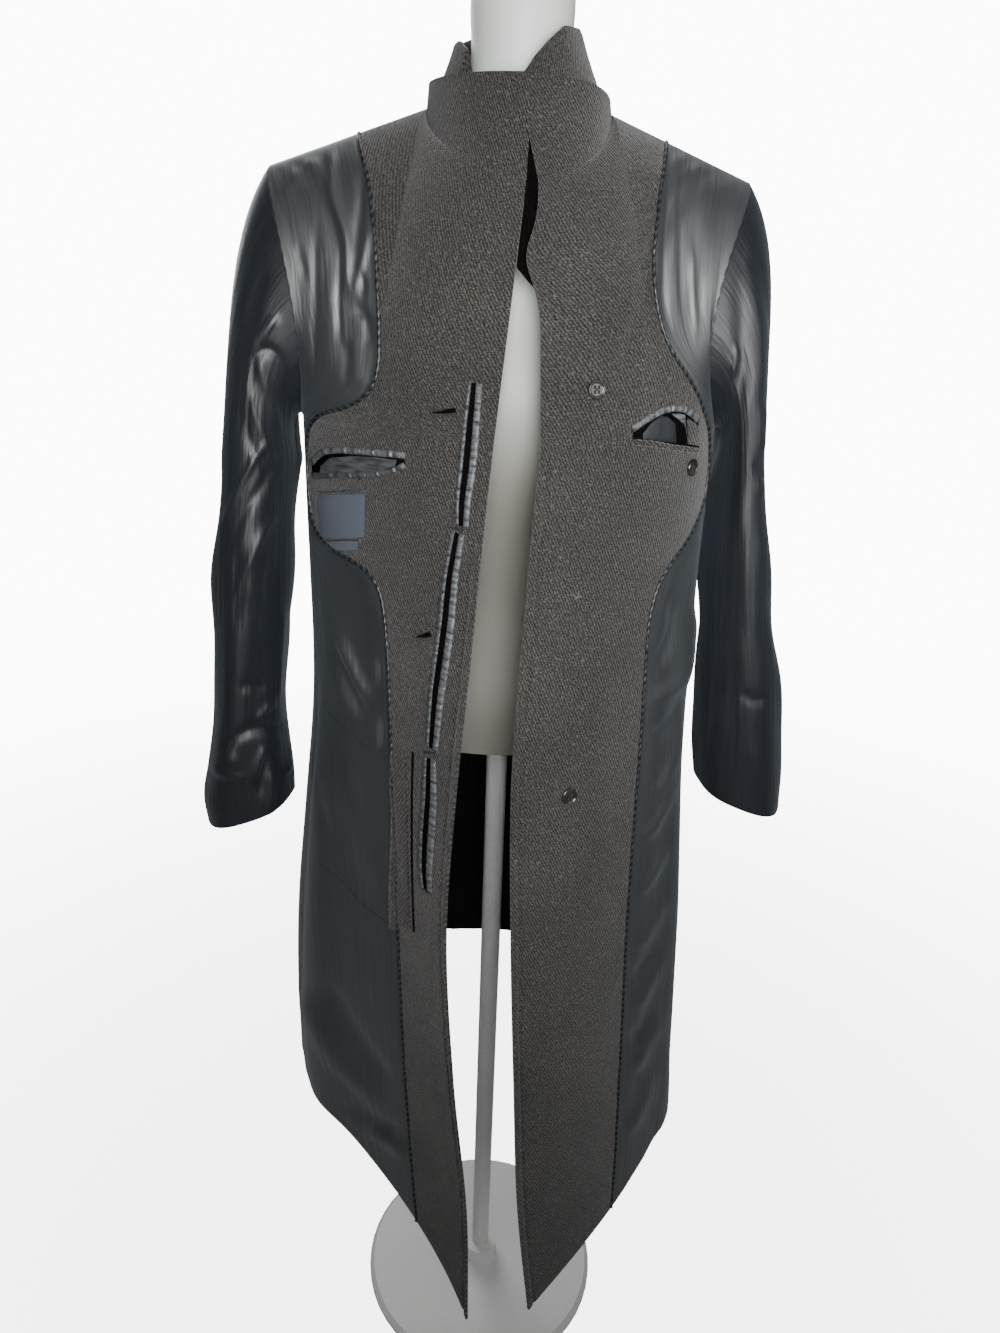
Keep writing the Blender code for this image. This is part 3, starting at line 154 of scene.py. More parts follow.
# Sleeves.  Columns: row_z, inner_x, outer_x, middle_y, half_depth
SLEEVES = {
    -1: (
        (0.808, 0.234, 0.334, -0.034, 0.051),
        (0.832, 0.2345, 0.336, -0.032, 0.053),
        (0.870, 0.238, 0.329, -0.027, 0.058),
        (0.930, 0.240, 0.319, -0.020, 0.064),
        (1.000, 0.236, 0.312, -0.012, 0.070),
        (1.100, 0.227, 0.305, -0.004, 0.074),
        (1.190, 0.218, 0.293, 0.002, 0.075),
    ),
    1: (
        (0.846, 0.227, 0.327, -0.029, 0.054),
        (0.862, 0.2250, 0.326, -0.027, 0.056),
        (0.880, 0.223, 0.325, -0.024, 0.059),
        (0.930, 0.220, 0.318, -0.018, 0.065),
        (1.000, 0.2165, 0.306, -0.010, 0.071),
        (1.100, 0.213, 0.281, -0.002, 0.075),
        (1.190, 0.212, 0.264, 0.004, 0.076),
    ),
}
SLEEVE_AROUND = 148
CAP_LEVELS = 48
ARM_LEVELS = 112
SLACK_HEIGHT = 0.0022
CUFF_TILT = 0.016
CAP_REACH = 0.30
CROWN_SLOPE = 1.35
UNDERARM_SLOPE = 0.05
# Collar.  Columns: angle, top_z
COLLAR_TOP = (
    (-42.0, 1.538), (-50.0, 1.562), (-62.0, 1.570), (-90.0, 1.568), (-140.0, 1.588), (-180.0, 1.592),
)
COLLAR_TOP_BUTTON = (
    (2.0, 1.538), (15.0, 1.556), (28.0, 1.569), (42.0, 1.580), (65.0, 1.582), (90.0, 1.576),
    (140.0, 1.588), (180.0, 1.592),
)
COLLAR_TOP_HALF_WIDTH = 0.0575
COLLAR_BASE_FRONT = 0.088
COLLAR_TOP_FRONT = 0.068
COLLAR_TOP_BACK = 0.066
COLLAR_TOP_SHIFT = -0.003
COLLAR_INSIDE = 0.905
# Columns: angle, height of the collar's base above the neck ring
COLLAR_LIFT = ((0.0, 0.040), (60.0, 0.026), (80.0, 0.010), (92.0, 0.0025), (100.0, 0.0006))
# The dark strip of painted shade behind the gap of the lapels: half width, way behind the edges, reach below
# and above the neck
NECK_GAP = (0.018, 0.0085, 0.060, 0.060)
# Dress form.  Columns: z, half_width, front, back
FORM_SECTIONS = (
    (0.915, 0.158, 0.098, 0.096),
    (0.960, 0.158, 0.096, 0.098),
    (1.020, 0.144, 0.086, 0.086),
    (1.080, 0.129, 0.080, 0.074),
    (1.150, 0.130, 0.088, 0.076),
    (1.220, 0.142, 0.104, 0.084),
    (1.280, 0.148, 0.108, 0.088),
    (1.350, 0.156, 0.092, 0.088),
    (1.400, 0.170, 0.078, 0.078),
    (1.440, 0.181, 0.058, 0.058),
    (1.462, 0.187, 0.050, 0.050),
)
# Columns: z, drop below the shoulder line, depth, power
RIDGE_SECTIONS = (
    (1.4780, 0.0027, 0.046, 1.70), (1.4830, 0.0027, 0.045, 1.60), (1.4880, 0.0027, 0.044, 1.50),
    (1.4940, 0.0027, 0.043, 1.40), (1.4990, 0.0038, 0.043, 1.30), (1.5040, 0.0060, 0.042, 1.25),
    (1.5090, 0.0090, 0.042, 1.30),
)
RIDGE_END = 0.188
# Columns: z, half_width, front, back
NECK_SECTIONS = (
    (1.5220, 0.066, 0.043, 0.045), (1.5340, 0.054, 0.045, 0.046), (1.5520, 0.047, 0.046, 0.047),
    (1.6000, 0.046, 0.046, 0.047), (1.6600, 0.046, 0.046, 0.046), (1.6960, 0.045, 0.045, 0.045),
)
NECK_CAP_Z = 1.704
FORM_SIDES = 112
POLE_HOLE_RADIUS = 0.0125
POLE_HOLE_DEPTH = 0.06

# Small things, as the pixels of the photograph that they run through
FLY_SLITS = (
    ((474, 383), (470, 425), (466, 468), (462, 500), (461, 526)),
    ((457, 533), (449, 580), (445, 622), (440, 660), (435, 695), (431, 748)),
    ((429, 758), (428, 800), (425, 840), (424, 870), (426, 891)),
)
FLY_POCKET_UPPER = ((312, 463), (318, 455), (326, 451), (341, 450), (366, 452), (391, 454), (405, 456))
FLY_POCKET_LOWER = ((312, 475), (337, 475), (365, 475), (385, 473), (397, 469), (405, 465))
FLY_BAG = (((321, 466), (330, 458), (350, 456), (374, 457), (397, 460)),
           ((320, 473), (338, 473), (360, 473), (380, 471), (395, 466)))
BUTTON_POCKET_UPPER = ((633, 429), (649, 418), (662, 411), (674, 408), (685, 409), (692, 414), (698, 420))
BUTTON_POCKET_LOWER = ((633, 442), (655, 444), (670, 447), (685, 449), (699, 451))
BUTTON_BAG = (((643, 433), (651, 423), (661, 416), (668, 417), (675, 424)),
              ((643, 439), (651, 440), (661, 441), (668, 442), (676, 443)))
BUTTON_BAG_EDGE = (((671, 414), (677, 413), (685, 415)), ((684, 424), (686, 430), (686, 438)))
BUTTON_POCKET_END = (((687, 418), (692, 421), (699, 427)), ((687, 444), (693, 445), (699, 446)))
SIDE_STRIP = (((392, 755), (391, 800), (390, 860), (390, 929)),
              ((408, 755), (408, 800), (409, 860), (411, 929)))
SIDE_STRIP_GROOVE = ((413, 752), (412, 800), (412, 860), (414, 932))
BUTTONHOLES = (((432, 413), (444, 412), (456, 410)), ((416, 637), (423, 636), (431, 634)))
BAR_TACKS = (((453, 528), (465, 530)), ((424, 752), (437, 753)), ((420, 886), (430, 893)))
LOOSE_THREADS = (((573, 595), (577, 598), (582, 596)), ((575, 600), (578, 596), (579, 592)))
LABELS = (
    ("maker_label", "label",
     (((317, 495), (341, 494), (365, 494)), ((321, 537), (342, 538), (364, 537)))),
    ("small_label", "care_label",
     (((322, 541), (340, 541), (358, 541)), ((326, 549), (341, 550), (357, 550)))),
)
LABEL_FOLDS = (((318, 492), (341, 491), (365, 491)), ((321, 540), (342, 540), (364, 539)))
POCKET_BAG_SEAMS = (((323, 701), (335, 717), (349, 730), (366, 746), (388, 752)),
                    ((323, 856), (339, 875), (364, 905), (394, 928)))

# Buttons.  Columns: name, x, z of their places; radius, height of a stay button and of a front button;
# room between a button and its cloth, and how far a thread reaches over it as a share of its radius
BUTTON_PLACES = (("upper", 0.075, 1.297), ("middle", 0.068, 1.119), ("lower", 0.071, 0.921))
POCKET_BUTTON_PLACE = (0.175, 1.222)
STAY_BUTTON = (0.0083, 0.0026)
FRONT_BUTTON = (0.0122, 0.0035)
CLEARANCE = 0.0009
BUTTON_THREAD_RADIUS = 0.00045
BUTTON_THREAD_REACH = 0.30

# Rolled front edge: height and half width of the roll; place, depth and half width of its stitched groove
EDGE_ROLL = (0.0011, 0.0055)
EDGE_GROOVE = (0.0085, 0.0010, 0.0016)
EDGE_STITCH_TOP = 1.47

# Hanging ripples of the satin: their lengths, and how high the longest is in front and behind
RIPPLES = (0.045, 0.031, 0.022, 0.016)
FRONT_RIPPLE = 0.0006
BACK_RIPPLE = 0.0007
# Puckers along a band.  Columns: length, share
PUCKERS = ((0.0115, 0.5), (0.0073, 0.35), (0.0049, 0.25))
NIP_WIDTH = 0.0010

# Sizes of the trim, and where the vent's underlap lies on its half of the back
VENT_ROWS = (0.426, 0.815)
VENT_SHARES = (0.893, 0.995)
PIPING_RADIUS = 0.0017
PIPING_STEP = 0.0022
# Puckers along the piping.  Columns: length, share
PIPING_PUCKERS = ((0.0070, 0.16), (0.0113, 0.10))
ARMHOLE_SEAM_RADIUS = 0.0012
# Distance between two stitches, length and radius of a stitch
EDGE_STITCH = (0.0062, 0.0042, 0.00055)
BAG_STITCH = (0.0034, 0.0026, 0.00045)
FLY_GAP_WIDTH = 0.0088
LIP_HEIGHT = 0.0017
# Columns: end, way from the slit, width, distance from the slit, finish
FLY_LIPS = (
    ("edge", -1, 0.0068, 0.0060, "satin_trim"),
    # painted shade: the darkened copy of the trim satin
    ("body", 1, 0.0042, 0.0047, "satin_trim_shaded"),
)
GAP_HEIGHT = 0.0002
BUTTONHOLE_WIDTH = 0.0052
WHIP_SHIFT = 0.0024
WELT_HEIGHT = 0.0016
WELT_WIDTHS = (0.0060, 0.0056)

# Flat cut of each sheet.  Columns: width, length, area of the cut
CUTS = {
    "facing_fly": (0.27, 1.24, 0.144),
    "facing_button": (0.27, 1.22, 0.184),
    "front_lining_fly": (0.26, 1.13, 0.211),
    "front_lining_button": (0.21, 1.13, 0.168),
    "back_lining_fly": (0.36, 1.16, 0.342),
    "back_lining_button": (0.36, 1.16, 0.336),
    "sleeve_fly": (0.40, 0.63, 0.195),
    "sleeve_button": (0.40, 0.60, 0.182),
    "collar_wool": (0.42, 0.075, 0.023),
    "vent_underlap": (0.038, 0.37, 0.0137),
    "neck_gap_shade": (0.038, 0.152, 0.0055),
}

# The photograph's camera: place, tip, roll and focal length in pixels of a 1000 by 1333 frame
CAMERA_PLACE = (0.0, -1.0, 1.40)
CAMERA_TIP = math.radians(23)
CAMERA_ROLL = math.radians(2)
FOCAL = 963.0
FRAME = (1000, 1333)

# Creases that the camera sees, drawn where the photograph shows them.  Each is the height of its ridge
# in millimetres (below zero, a trough), half of its width in pixels, and the pixels that it runs through.
CREASE_SCALE = 0.00062
FRONT_CREASES = (
    # Fly side, upper lining: a hooked drape beside the facing, and long soft bands
    (5.0, 5.0, ((331, 138), (333, 164), (331, 190), (336, 210), (344, 222), (348, 240), (348, 262),
                (346, 284), (352, 299), (362, 301))),
    (3.5, 4.0, ((352, 300), (357, 286), (361, 268), (366, 246), (368, 220))),
    (-3.0, 5.0, ((362, 160), (361, 200), (357, 230), (355, 258))),
    (-4.0, 4.0, ((359, 270), (361, 280), (365, 294))),
    (-4.5, 5.5, ((349, 316), (357, 309), (366, 318), (371, 350))),
    (3.0, 8.0, ((356, 330), (358, 360), (358, 392))),
    (-2.0, 3.0, ((341, 236), (339, 290), (340, 350))),
    (2.5, 8.0, ((330, 262), (330, 320), (330, 384))),
    (-2.0, 4.0, ((316, 210), (315, 290), (314, 390))),
    (-2.5, 2.6, ((267, 172), (277, 200), (288, 228))),
    (3.0, 7.0, ((276, 200), (292, 182), (312, 164), (326, 150))),
    (-2.0, 4.0, ((296, 244), (301, 262), (306, 282))),
    (-2.0, 4.0, ((345, 388), (348, 360), (346, 340))),
    # Fly side, lower lining: a bright fold into the facing, and the drag towards the hem
    (8.5, 5.0, ((338, 630), (347, 655), (361, 686), (376, 706))),
    (-6.8, 6.0, ((330, 636), (343, 672), (357, 704), (374, 726))),
    (-5.1, 4.0, ((379, 652), (380, 668), (380, 684))),
    (-6.0, 4.0, ((381, 712), (382, 730), (382, 752))),
    (4.2, 9.0, ((322, 580), (330, 620), (341, 680), (350, 730))),
    (4.2, 12.0, ((340, 756), (352, 810), (372, 866), (388, 900))),
    (-3.4, 5.0, ((321, 770), (324, 800), (333, 840))),
    (-4.2, 8.0, ((384, 780), (392, 840), (398, 900))),
    (8.5, 9.0, ((298, 972), (318, 1014), (344, 1066), (388, 1112))),
    (-6.8, 9.0, ((324, 970), (346, 1020), (372, 1060), (398, 1090))),
    (6.8, 7.0, ((366, 1126), (388, 1140), (410, 1158))),
    (-6.0, 8.0, ((350, 1104), (376, 1122), (402, 1134))),
    # Button side, upper lining: a deep valley beside the facing and a long streak
    (-5.0, 5.0, ((668, 130), (669, 200), (665, 260), (664, 310), (674, 342))),
    (2.5, 3.0, ((690, 236), (692, 280), (696, 345))),
    (3.5, 13.0, ((700, 140), (704, 230), (708, 330), (708, 400))),
    (-2.5, 6.0, ((732, 212), (728, 250), (722, 290))),
    (-2.0, 4.0, ((681, 160), (680, 230), (682, 320))),
    # Button side, lower lining: crescents that hang from the facing's seam
    (9.5, 7.0, ((645, 709), (662, 696), (681, 682), (691, 660), (695, 630), (694, 600))),
    (-7.6, 7.0, ((650, 672), (664, 656), (674, 630), (676, 590))),
    (-6.6, 6.0, ((646, 744), (662, 732), (676, 716), (686, 690))),
    (6.6, 5.0, ((643, 803), (658, 792), (672, 760), (679, 722))),
    (6.6, 5.0, ((637, 842), (653, 828), (665, 800), (672, 770))),
    (6.6, 5.0, ((636, 895), (648, 882), (656, 864), (664, 840))),
    (6.6, 6.0, ((633, 950), (645, 938), (655, 915), (662, 890))),
    (6.6, 6.0, ((629, 1012), (642, 1000), (652, 975), (660, 945))),
    (6.6, 6.0, ((626, 1074), (640, 1060), (650, 1036), (658, 1004))),
    (5.7, 6.0, ((622, 1138), (636, 1120), (646, 1096), (652, 1064))),
    (-5.7, 6.0, ((634, 980), (645, 968), (655, 950))),
    (-5.7, 6.0, ((630, 1042), (643, 1030), (654, 1010))),
    # Facings: the roll of each front edge and soft hollows
    (1.6, 5.0, ((433, 880), (430, 980), (430, 1082), (450, 1183), (462, 1262))),
    (2.0, 12.0, ((500, 300), (486, 420), (478, 560), (470, 680))),
    (-1.5, 16.0, ((560, 500), (566, 640), (570, 800))),
    (1.5, 14.0, ((600, 560), (600, 700), (596, 900))),
    (-2.5, 9.0, ((661, 225), (644, 290), (627, 357), (616, 430))),
)
SLEEVE_CREASES = (
    # Fly side
    (5.0, 6.0, ((281, 312), (270, 324), (256, 342), (250, 358))),
    (-5.0, 7.0, ((246, 330), (252, 300), (262, 276), (274, 262))),
    (-3.5, 5.0, ((252, 366), (263, 347), (277, 352), (287, 376), (292, 412))),
    (3.0, 2.6, ((251, 350), (249, 372), (245, 402), (242, 444))),
    (3.0, 4.5, ((256, 346), (262, 374), (272, 404), (284, 440))),
    (2.5, 3.5, ((246, 372), (252, 408), (264, 440), (278, 468))),
    (-3.0, 5.0, ((238, 400), (246, 432), (258, 458), (274, 486))),
    (4.0, 3.5, ((276, 430), (256, 456), (236, 492), (218, 540))),
    (-3.0, 5.0, ((284, 452), (262, 484), (240, 520), (222, 566))),
    (2.5, 4.0, ((286, 500), (262, 534), (240, 580), (224, 630))),
    (3.0, 6.0, ((262, 520), (252, 560), (250, 610))),
    (-3.0, 6.0, ((240, 540), (236, 580), (238, 640))),
    (-3.0, 7.0, ((272, 560), (268, 610), (264, 660))),
    (2.5, 2.6, ((282, 600), (281, 640), (279, 676), (278, 708))),
    (-4.0, 6.0, ((236, 690), (252, 684), (268, 690))),
    (4.0, 3.0, ((257, 722), (265, 710), (276, 698))),
    (-7.0, 6.0, ((214, 750), (231, 739), (250, 730), (272, 727), (294, 731))),
    (6.0, 9.0, ((214, 776), (224, 764), (240, 756))),
    (5.0, 3.4, ((251, 787), (258, 764), (266, 742))),
    (4.0, 3.0, ((269, 818), (271, 790), (270, 768))),
    (-4.0, 4.0, ((260, 800), (262, 776), (268, 752))),
    (3.0, 4.0, ((221, 770), (234, 776), (248, 780))),
    (4.0, 3.4, ((282, 776), (290, 768), (296, 756))),
    # Button side
    (5.0, 7.0, ((757, 196), (747, 238), (744, 264), (752, 292), (760, 336), (758, 384), (753, 430))),
    (-5.0, 7.0, ((741, 244), (733, 268), (738, 300), (742, 350), (740, 420))),
    (-3.5, 3.5, ((738, 272), (748, 264), (757, 254))),
    (3.0, 3.0, ((737, 342), (737, 358), (732, 378))),
    (4.0, 7.0, ((764, 402), (762, 430), (766, 456))),
    (-6.0, 6.0, ((752, 474), (764, 466), (780, 470))),
    (4.0, 6.0, ((757, 496), (766, 486), (778, 490))),
    (3.0, 7.0, ((764, 520), (758, 580), (760, 640))),
    (-3.0, 7.0, ((742, 520), (738, 590), (740, 660))),
    (-3.0, 6.0, ((738, 690), (752, 700), (770, 696))),
    (3.0, 6.0, ((728, 640), (724, 700), (722, 760))),
    (-3.0, 5.0, ((710, 620), (708, 690), (706, 750))),
    (2.5, 5.0, ((752, 740), (756, 770), (758, 800))),
)


# Small mathematics


def smooth_column(table, column, rows):
    """One column of a table at any height: a cubic through its rows with slopes from their neighbours."""
    table = np.asarray(table, float)
    keys = table[:, 0]
    values = table[:, column]
    slopes = np.gradient(values, keys)
    rows = np.clip(np.asarray(rows, float), keys[0], keys[-1])
    cell = np.clip(np.searchsorted(keys, rows, side="right") - 1, 0, len(keys) - 2)
    step = keys[cell + 1] - keys[cell]
    t = (rows - keys[cell]) / step
    start = (1 + 2 * t) * (1 - t) ** 2 * values[cell] + t * (1 - t) ** 2 * step * slopes[cell]
    end = t * t * (3 - 2 * t) * values[cell + 1] + t * t * (t - 1) * step * slopes[cell + 1]
    return start + end


def ease(t):
    """Goes from 0 to 1 with level ends: 3 t squared less 2 t cubed."""
    t = np.clip(t, 0, 1)
    return t * t * (3 - 2 * t)


def vectors(*parts):
    """Stacks numbers or arrays into points."""
    return np.stack(np.broadcast_arrays(*[np.asarray(p, float) for p in parts]), axis=-1)


def unit(v):
    """Vectors of length 1."""
    return v / np.maximum(np.linalg.norm(v, axis=-1, keepdims=True), 1e-12)


def bezier(corners, t):
    """Points at t of the cubic with four control points."""
    a, b, c, d = corners
    t = t[..., None]
    return a * (1 - t) ** 3 + 3 * b * t * (1 - t) ** 2 + 3 * c * t * t * (1 - t) + d * t ** 3


def path_run(path):
    """Walked length at each point of a path."""
    return np.append(0, np.cumsum(np.linalg.norm(np.diff(path, axis=0), axis=1)))


def row_runs(grid):
    """Walked length at each point of a grid, along its rows."""
    run = np.cumsum(np.linalg.norm(np.diff(grid, axis=1), axis=2), axis=1)
    return np.concatenate([0 * run[:, :1], run], axis=1)


def along(corners, share):
    """Each row's cubic at shares of its own length: t is read off where the walked length is that share."""
    pieces = 64
    corners = [c[:, None] for c in corners]
    steps = np.broadcast_to(np.linspace(0, 1, pieces + 1), (len(share), pieces + 1))
    run = row_runs(bezier(corners, steps))
    run = run / run[:, -1:]
    cell = (share[..., None] >= run[:, None, 1:-1]).sum(-1)
    low = np.take_along_axis(run, cell, 1)
    high = np.take_along_axis(run, cell + 1, 1)
    return bezier(corners, (cell + (share - low) / (high - low)) / pieces)


def spread(line, count, rounds=2, soft=None):
    """Evenly spaced points on a line through table points; soft is how many are averaged to round corners."""
    line = np.asarray(line, float)
    run = path_run(line)
    at = np.linspace(0, run[-1], count)
    out = np.stack([np.interp(at, run, line[:, i]) for i in range(line.shape[1])], axis=1)
    width = soft or max(2, count // 14)
    kernel = np.ones(width) / width
    for _ in range(rounds):
        ends = np.repeat(out[:1], width, 0), np.repeat(out[-1:], width, 0)
        padded = np.concatenate([2 * ends[0] - out[width:0:-1], out, 2 * ends[1] - out[-2:-width - 2:-1]])
        soft = np.stack([np.convolve(padded[:, i], kernel, "same") for i in range(out.shape[1])], axis=1)
        out[1:-1] = soft[width:-width][1:-1]
    return out


# Shape of the coat


def front_row(side, rows, share):
    """Body rows from the front edge (share 0) to the side seam (share 1), up to the underarm."""
    table = FRONTS[side]
    edge_x, edge_y, turn, run, side_x, drop = (smooth_column(table, i, rows) for i in (1, 2, 3, 4, 5, 7))
    side_y = smooth_column(table, 6, rows)
    turn = np.radians(turn)
    edge = vectors(edge_x, edge_y, 0 * rows)
    seam = vectors(side * side_x, side_y, 0 * rows)
    leave = edge + vectors(side * np.cos(turn), np.sin(turn), 0 * rows) * run[:, None]
    arrive = seam - vectors(0 * rows, SIDE_RUN_FRONT * (side_y - edge_y), 0 * rows)
    points = along([edge, leave, arrive, seam], share)
    points[..., 2] = rows[:, None] - drop[:, None] * (1 - share) ** 2
    low = np.exp(-((rows - table[0][0]) / HEM_REACH) ** 2)[:, None]
    points[..., 2] += HEM_RISE[side] * low * np.sin(math.pi * share)
    return points


def back_row(side, rows, share):
    """Body rows from the side seam (share 0) to the middle of the back (share 1), up to the underarm."""
    table = FRONTS[side]
    side_x, side_y = smooth_column(table, 5, rows), smooth_column(table, 6, rows)
    back_y, lift = (smooth_column(BACK_SECTIONS, i, rows) for i in (1, 2))
    seam = vectors(side * side_x, side_y, 0 * rows)
    middle = vectors(0 * rows, back_y, 0 * rows)
    leave = seam + vectors(0 * rows, SIDE_RUN_BACK * (back_y - side_y), 0 * rows)
    arrive = middle + vectors(side * BACK_RUN * side_x, 0 * rows, 0 * rows)
    points = along([seam, leave, arrive, middle], share)
    points[..., 2] = rows[:, None] + lift[:, None] * share * (2 - share)
    return points


def front_neck(side, share, reach, half_width, edge_x):
    """Neck ring from the front edge (share 0) to the neck point (share 1): a quarter of an ellipse."""
    start = math.asin(side * edge_x / half_width)
    angle = start + (math.pi / 2 - start) * share
    tuck = (BUTTON_SIDE_TUCK if side > 0 else 0.0) * (1 - share)
    return side * (half_width - 0.3 * tuck) * np.sin(angle), -(reach - tuck) * np.cos(angle)


def front_top(side, share):
    """Top of a front: the neck ring, then the shoulder seam from the neck point to the shoulder tip."""
    neck = np.clip(share / NECK_COLUMN, 0, 1)
    x, y = front_neck(side, neck, NECK_FRONT_REACH, NECK_HALF_WIDTH, NECK_EDGE_X[side])
    z = NECK_FRONT_Z + (NECK_SIDE_Z - NECK_FRONT_Z) * neck ** 1.5
    seam = np.clip((share - NECK_COLUMN) / (1 - NECK_COLUMN), 0, 1)
    tip = SHOULDER_TIPS[side]
    x = x + side * (tip[0] - NECK_HALF_WIDTH) * seam
    return vectors(x, y + tip[1] * seam - SEAM_GAP / 2, z + (tip[2] - NECK_SIDE_Z) * seam)


def back_top(side, share):
    """Top of a back half: the shoulder seam, then the neck ring to the middle of the back."""
    neck = np.clip((share - 1 + BACK_NECK_COLUMN) / BACK_NECK_COLUMN, 0, 1)
    seam = np.clip(1 - share / (1 - BACK_NECK_COLUMN), 0, 1)
    tip = SHOULDER_TIPS[side]
    x = side * (NECK_HALF_WIDTH * np.cos(neck * math.pi / 2) + (tip[0] - NECK_HALF_WIDTH) * seam)
    y = NECK_BACK_REACH * np.sin(neck * math.pi / 2) + tip[1] * seam + SEAM_GAP / 2
    z = NECK_SIDE_Z + (NECK_BACK_Z - NECK_SIDE_Z) * neck + (tip[2] - NECK_SIDE_Z) * seam
    return vectors(x, y, z)


def rise(low, top, up, curl):
    """From the underarm row to the top: straight sideways and upwards, curling over in depth."""
    over = (1 - curl) * up ** 2 + curl * (1 - np.sqrt(np.clip(1 - up ** 2, 0, 1)))
    return low + (top - low) * np.stack([up, over, up], axis=-1)


def armhole_bow(side, up, near, depth):
    """How far the armhole swings in and forward (or back) from a straight line, fading away from it."""
    inward = np.sin(math.pi * up ** 0.85)
    forward = (4 * up * (1 - up)) ** 0.6
    return vectors(-side * ARMHOLE_IN[side] * inward * near, depth * forward * near, 0 * up)


def front_sheet(side, rows, share):
    """Smooth front half: a cubic row up to the underarm, and above it a blend up to the neck and shoulder."""
    low = front_row(side, np.minimum(rows, UNDERARM_Z), share)
    up = np.clip((rows - UNDERARM_Z) / (SHOULDER_ROW - UNDERARM_Z), 0, 1)[:, None] + 0 * share
    points = rise(low, front_top(side, share), up, np.clip((share - 0.12) / 0.38, 0, 1))
    if side > 0:
        dip = np.exp(-((rows - EDGE_DIP_ROW) / 0.030) ** 2)[:, None]
        points[..., 0] -= EDGE_DIP * dip * (1 - share) ** 6
    near = np.clip((share - 0.45) / 0.55, 0, 1) ** 2
    return points + armhole_bow(side, up, near, -ARMHOLE_FRONT_BOW)


def back_sheet(side, rows, share):
    """Smooth back half, worked out as the front is."""
    low = back_row(side, np.minimum(rows, UNDERARM_Z), share)
    up = np.clip((rows - UNDERARM_Z) / (SHOULDER_ROW - UNDERARM_Z), 0, 1)[:, None] + 0 * share
    points = rise(low, back_top(side, share), up, 0.9 + 0 * share)
    near = np.clip((0.55 - share) / 0.55, 0, 1) ** 2
    return points + armhole_bow(side, up, near, ARMHOLE_BACK_BOW)


def directions(sheet, side, rows, share, points):
    """Outward directions of a sheet, from small steps along it; straight sideways at the side seam."""
    step = 0.004
    ahead = sheet(side, rows, np.clip(share + step, 0, 1)) - sheet(side, rows, np.clip(share - step, 0, 1))
    above = sheet(side, np.minimum(rows + step, SHOULDER_ROW - 0.002), share)
    below = sheet(side, np.maximum(rows - step, HEM_ROW), share)
    normals = unit(np.cross(ahead, above - below))
    normals *= np.sign((normals * points * (1.0, 1.0, 0.0)).sum())
    at_side = ease((share - 0.90) / 0.1) if sheet is front_sheet else ease((0.10 - share) / 0.1)
    at_side = at_side * (rows <= UNDERARM_Z)[:, None]
    normals = normals * (1 - at_side[..., None]) + at_side[..., None] * (side, 0.0, 0.0)
    return unit(normals)


def fold_ridges(side, rows, across):
    """Sum of the large soft folds: each is a rounded ridge or trough that fades at both its ends."""
    out = np.zeros_like(across)
    for fold_side, middle, row_z, half_length, half_width, ridge in FOLDS:
        if fold_side == side:
            away = (across - middle) / half_width
            out += ridge * np.exp(-away ** 2 - ((rows[:, None] - row_z) / half_length) ** 4)
    return out


def camera_axes():
    """The camera's right, up and forward: level with the floor, then tipped down, then rolled."""
    forward = np.array((0, math.cos(CAMERA_TIP), -math.sin(CAMERA_TIP)))
    level = np.array((0, math.sin(CAMERA_TIP), math.cos(CAMERA_TIP)))
    across = np.array((1.0, 0, 0))
    turn, hold = math.sin(CAMERA_ROLL), math.cos(CAMERA_ROLL)
    return hold * across + turn * level, hold * level - turn * across, forward


def on_photo(points):
    """Pixels of points: focal length times sideways over depth, from the middle of the frame."""
    right, up, forward = camera_axes()
    away = points - np.array(CAMERA_PLACE)
    depth = away @ forward
    return FRAME[0] / 2 + FOCAL * (away @ right) / depth, FRAME[1] / 2 - FOCAL * (away @ up) / depth


def crease_relief(creases, points):
    """Sum of the drawn creases at points, in metres.

    Each adds height * exp(-(distance to its line / half width) squared), fading at both its ends.
    """
    px, py = on_photo(points)
    out = np.zeros_like(px)
    for height, half_width, line in creases:
        course = spread(line, 24, soft=3)
        start, run = course[:-1], np.diff(course, axis=0)
        reach = 3 * half_width
        near = (px > course[:, 0].min() - reach) & (px < course[:, 0].max() + reach)
        near &= (py > course[:, 1].min() - reach) & (py < course[:, 1].max() + reach)
        gap = np.stack([px[near], py[near]], axis=-1)[:, None] - start
        t = np.clip((gap * run).sum(-1) / (run ** 2).sum(-1), 0, 1)
        away = np.linalg.norm(gap - t[..., None] * run, axis=-1)
        best = away.argmin(axis=1)
        here = np.arange(len(best))
        place = (best + t[here, best]) / len(run)
        fade = ease(np.minimum(place, 1 - place) / 0.25)
        out[near] += CREASE_SCALE * height * fade * np.exp(-(away[here, best] / half_width) ** 2)
    return out


def ripple(across, rows, size, seed):
    """Fine long ripples of hanging satin: a sum of slanted waves with fixed phases."""
    rng = np.random.default_rng(seed)
    out = np.zeros_like(across)
    for wave in RIPPLES:
        phase, lean = rng.uniform(0, 2 * math.pi), rng.uniform(-0.12, 0.12)
        slow = 0.5 + 0.5 * np.sin(rows * rng.uniform(6, 12) + rng.uniform(0, 6))
        out += size * (wave / RIPPLES[0]) * slow * np.sin(2 * math.pi * (across + lean * rows) / wave + phase)
    return out


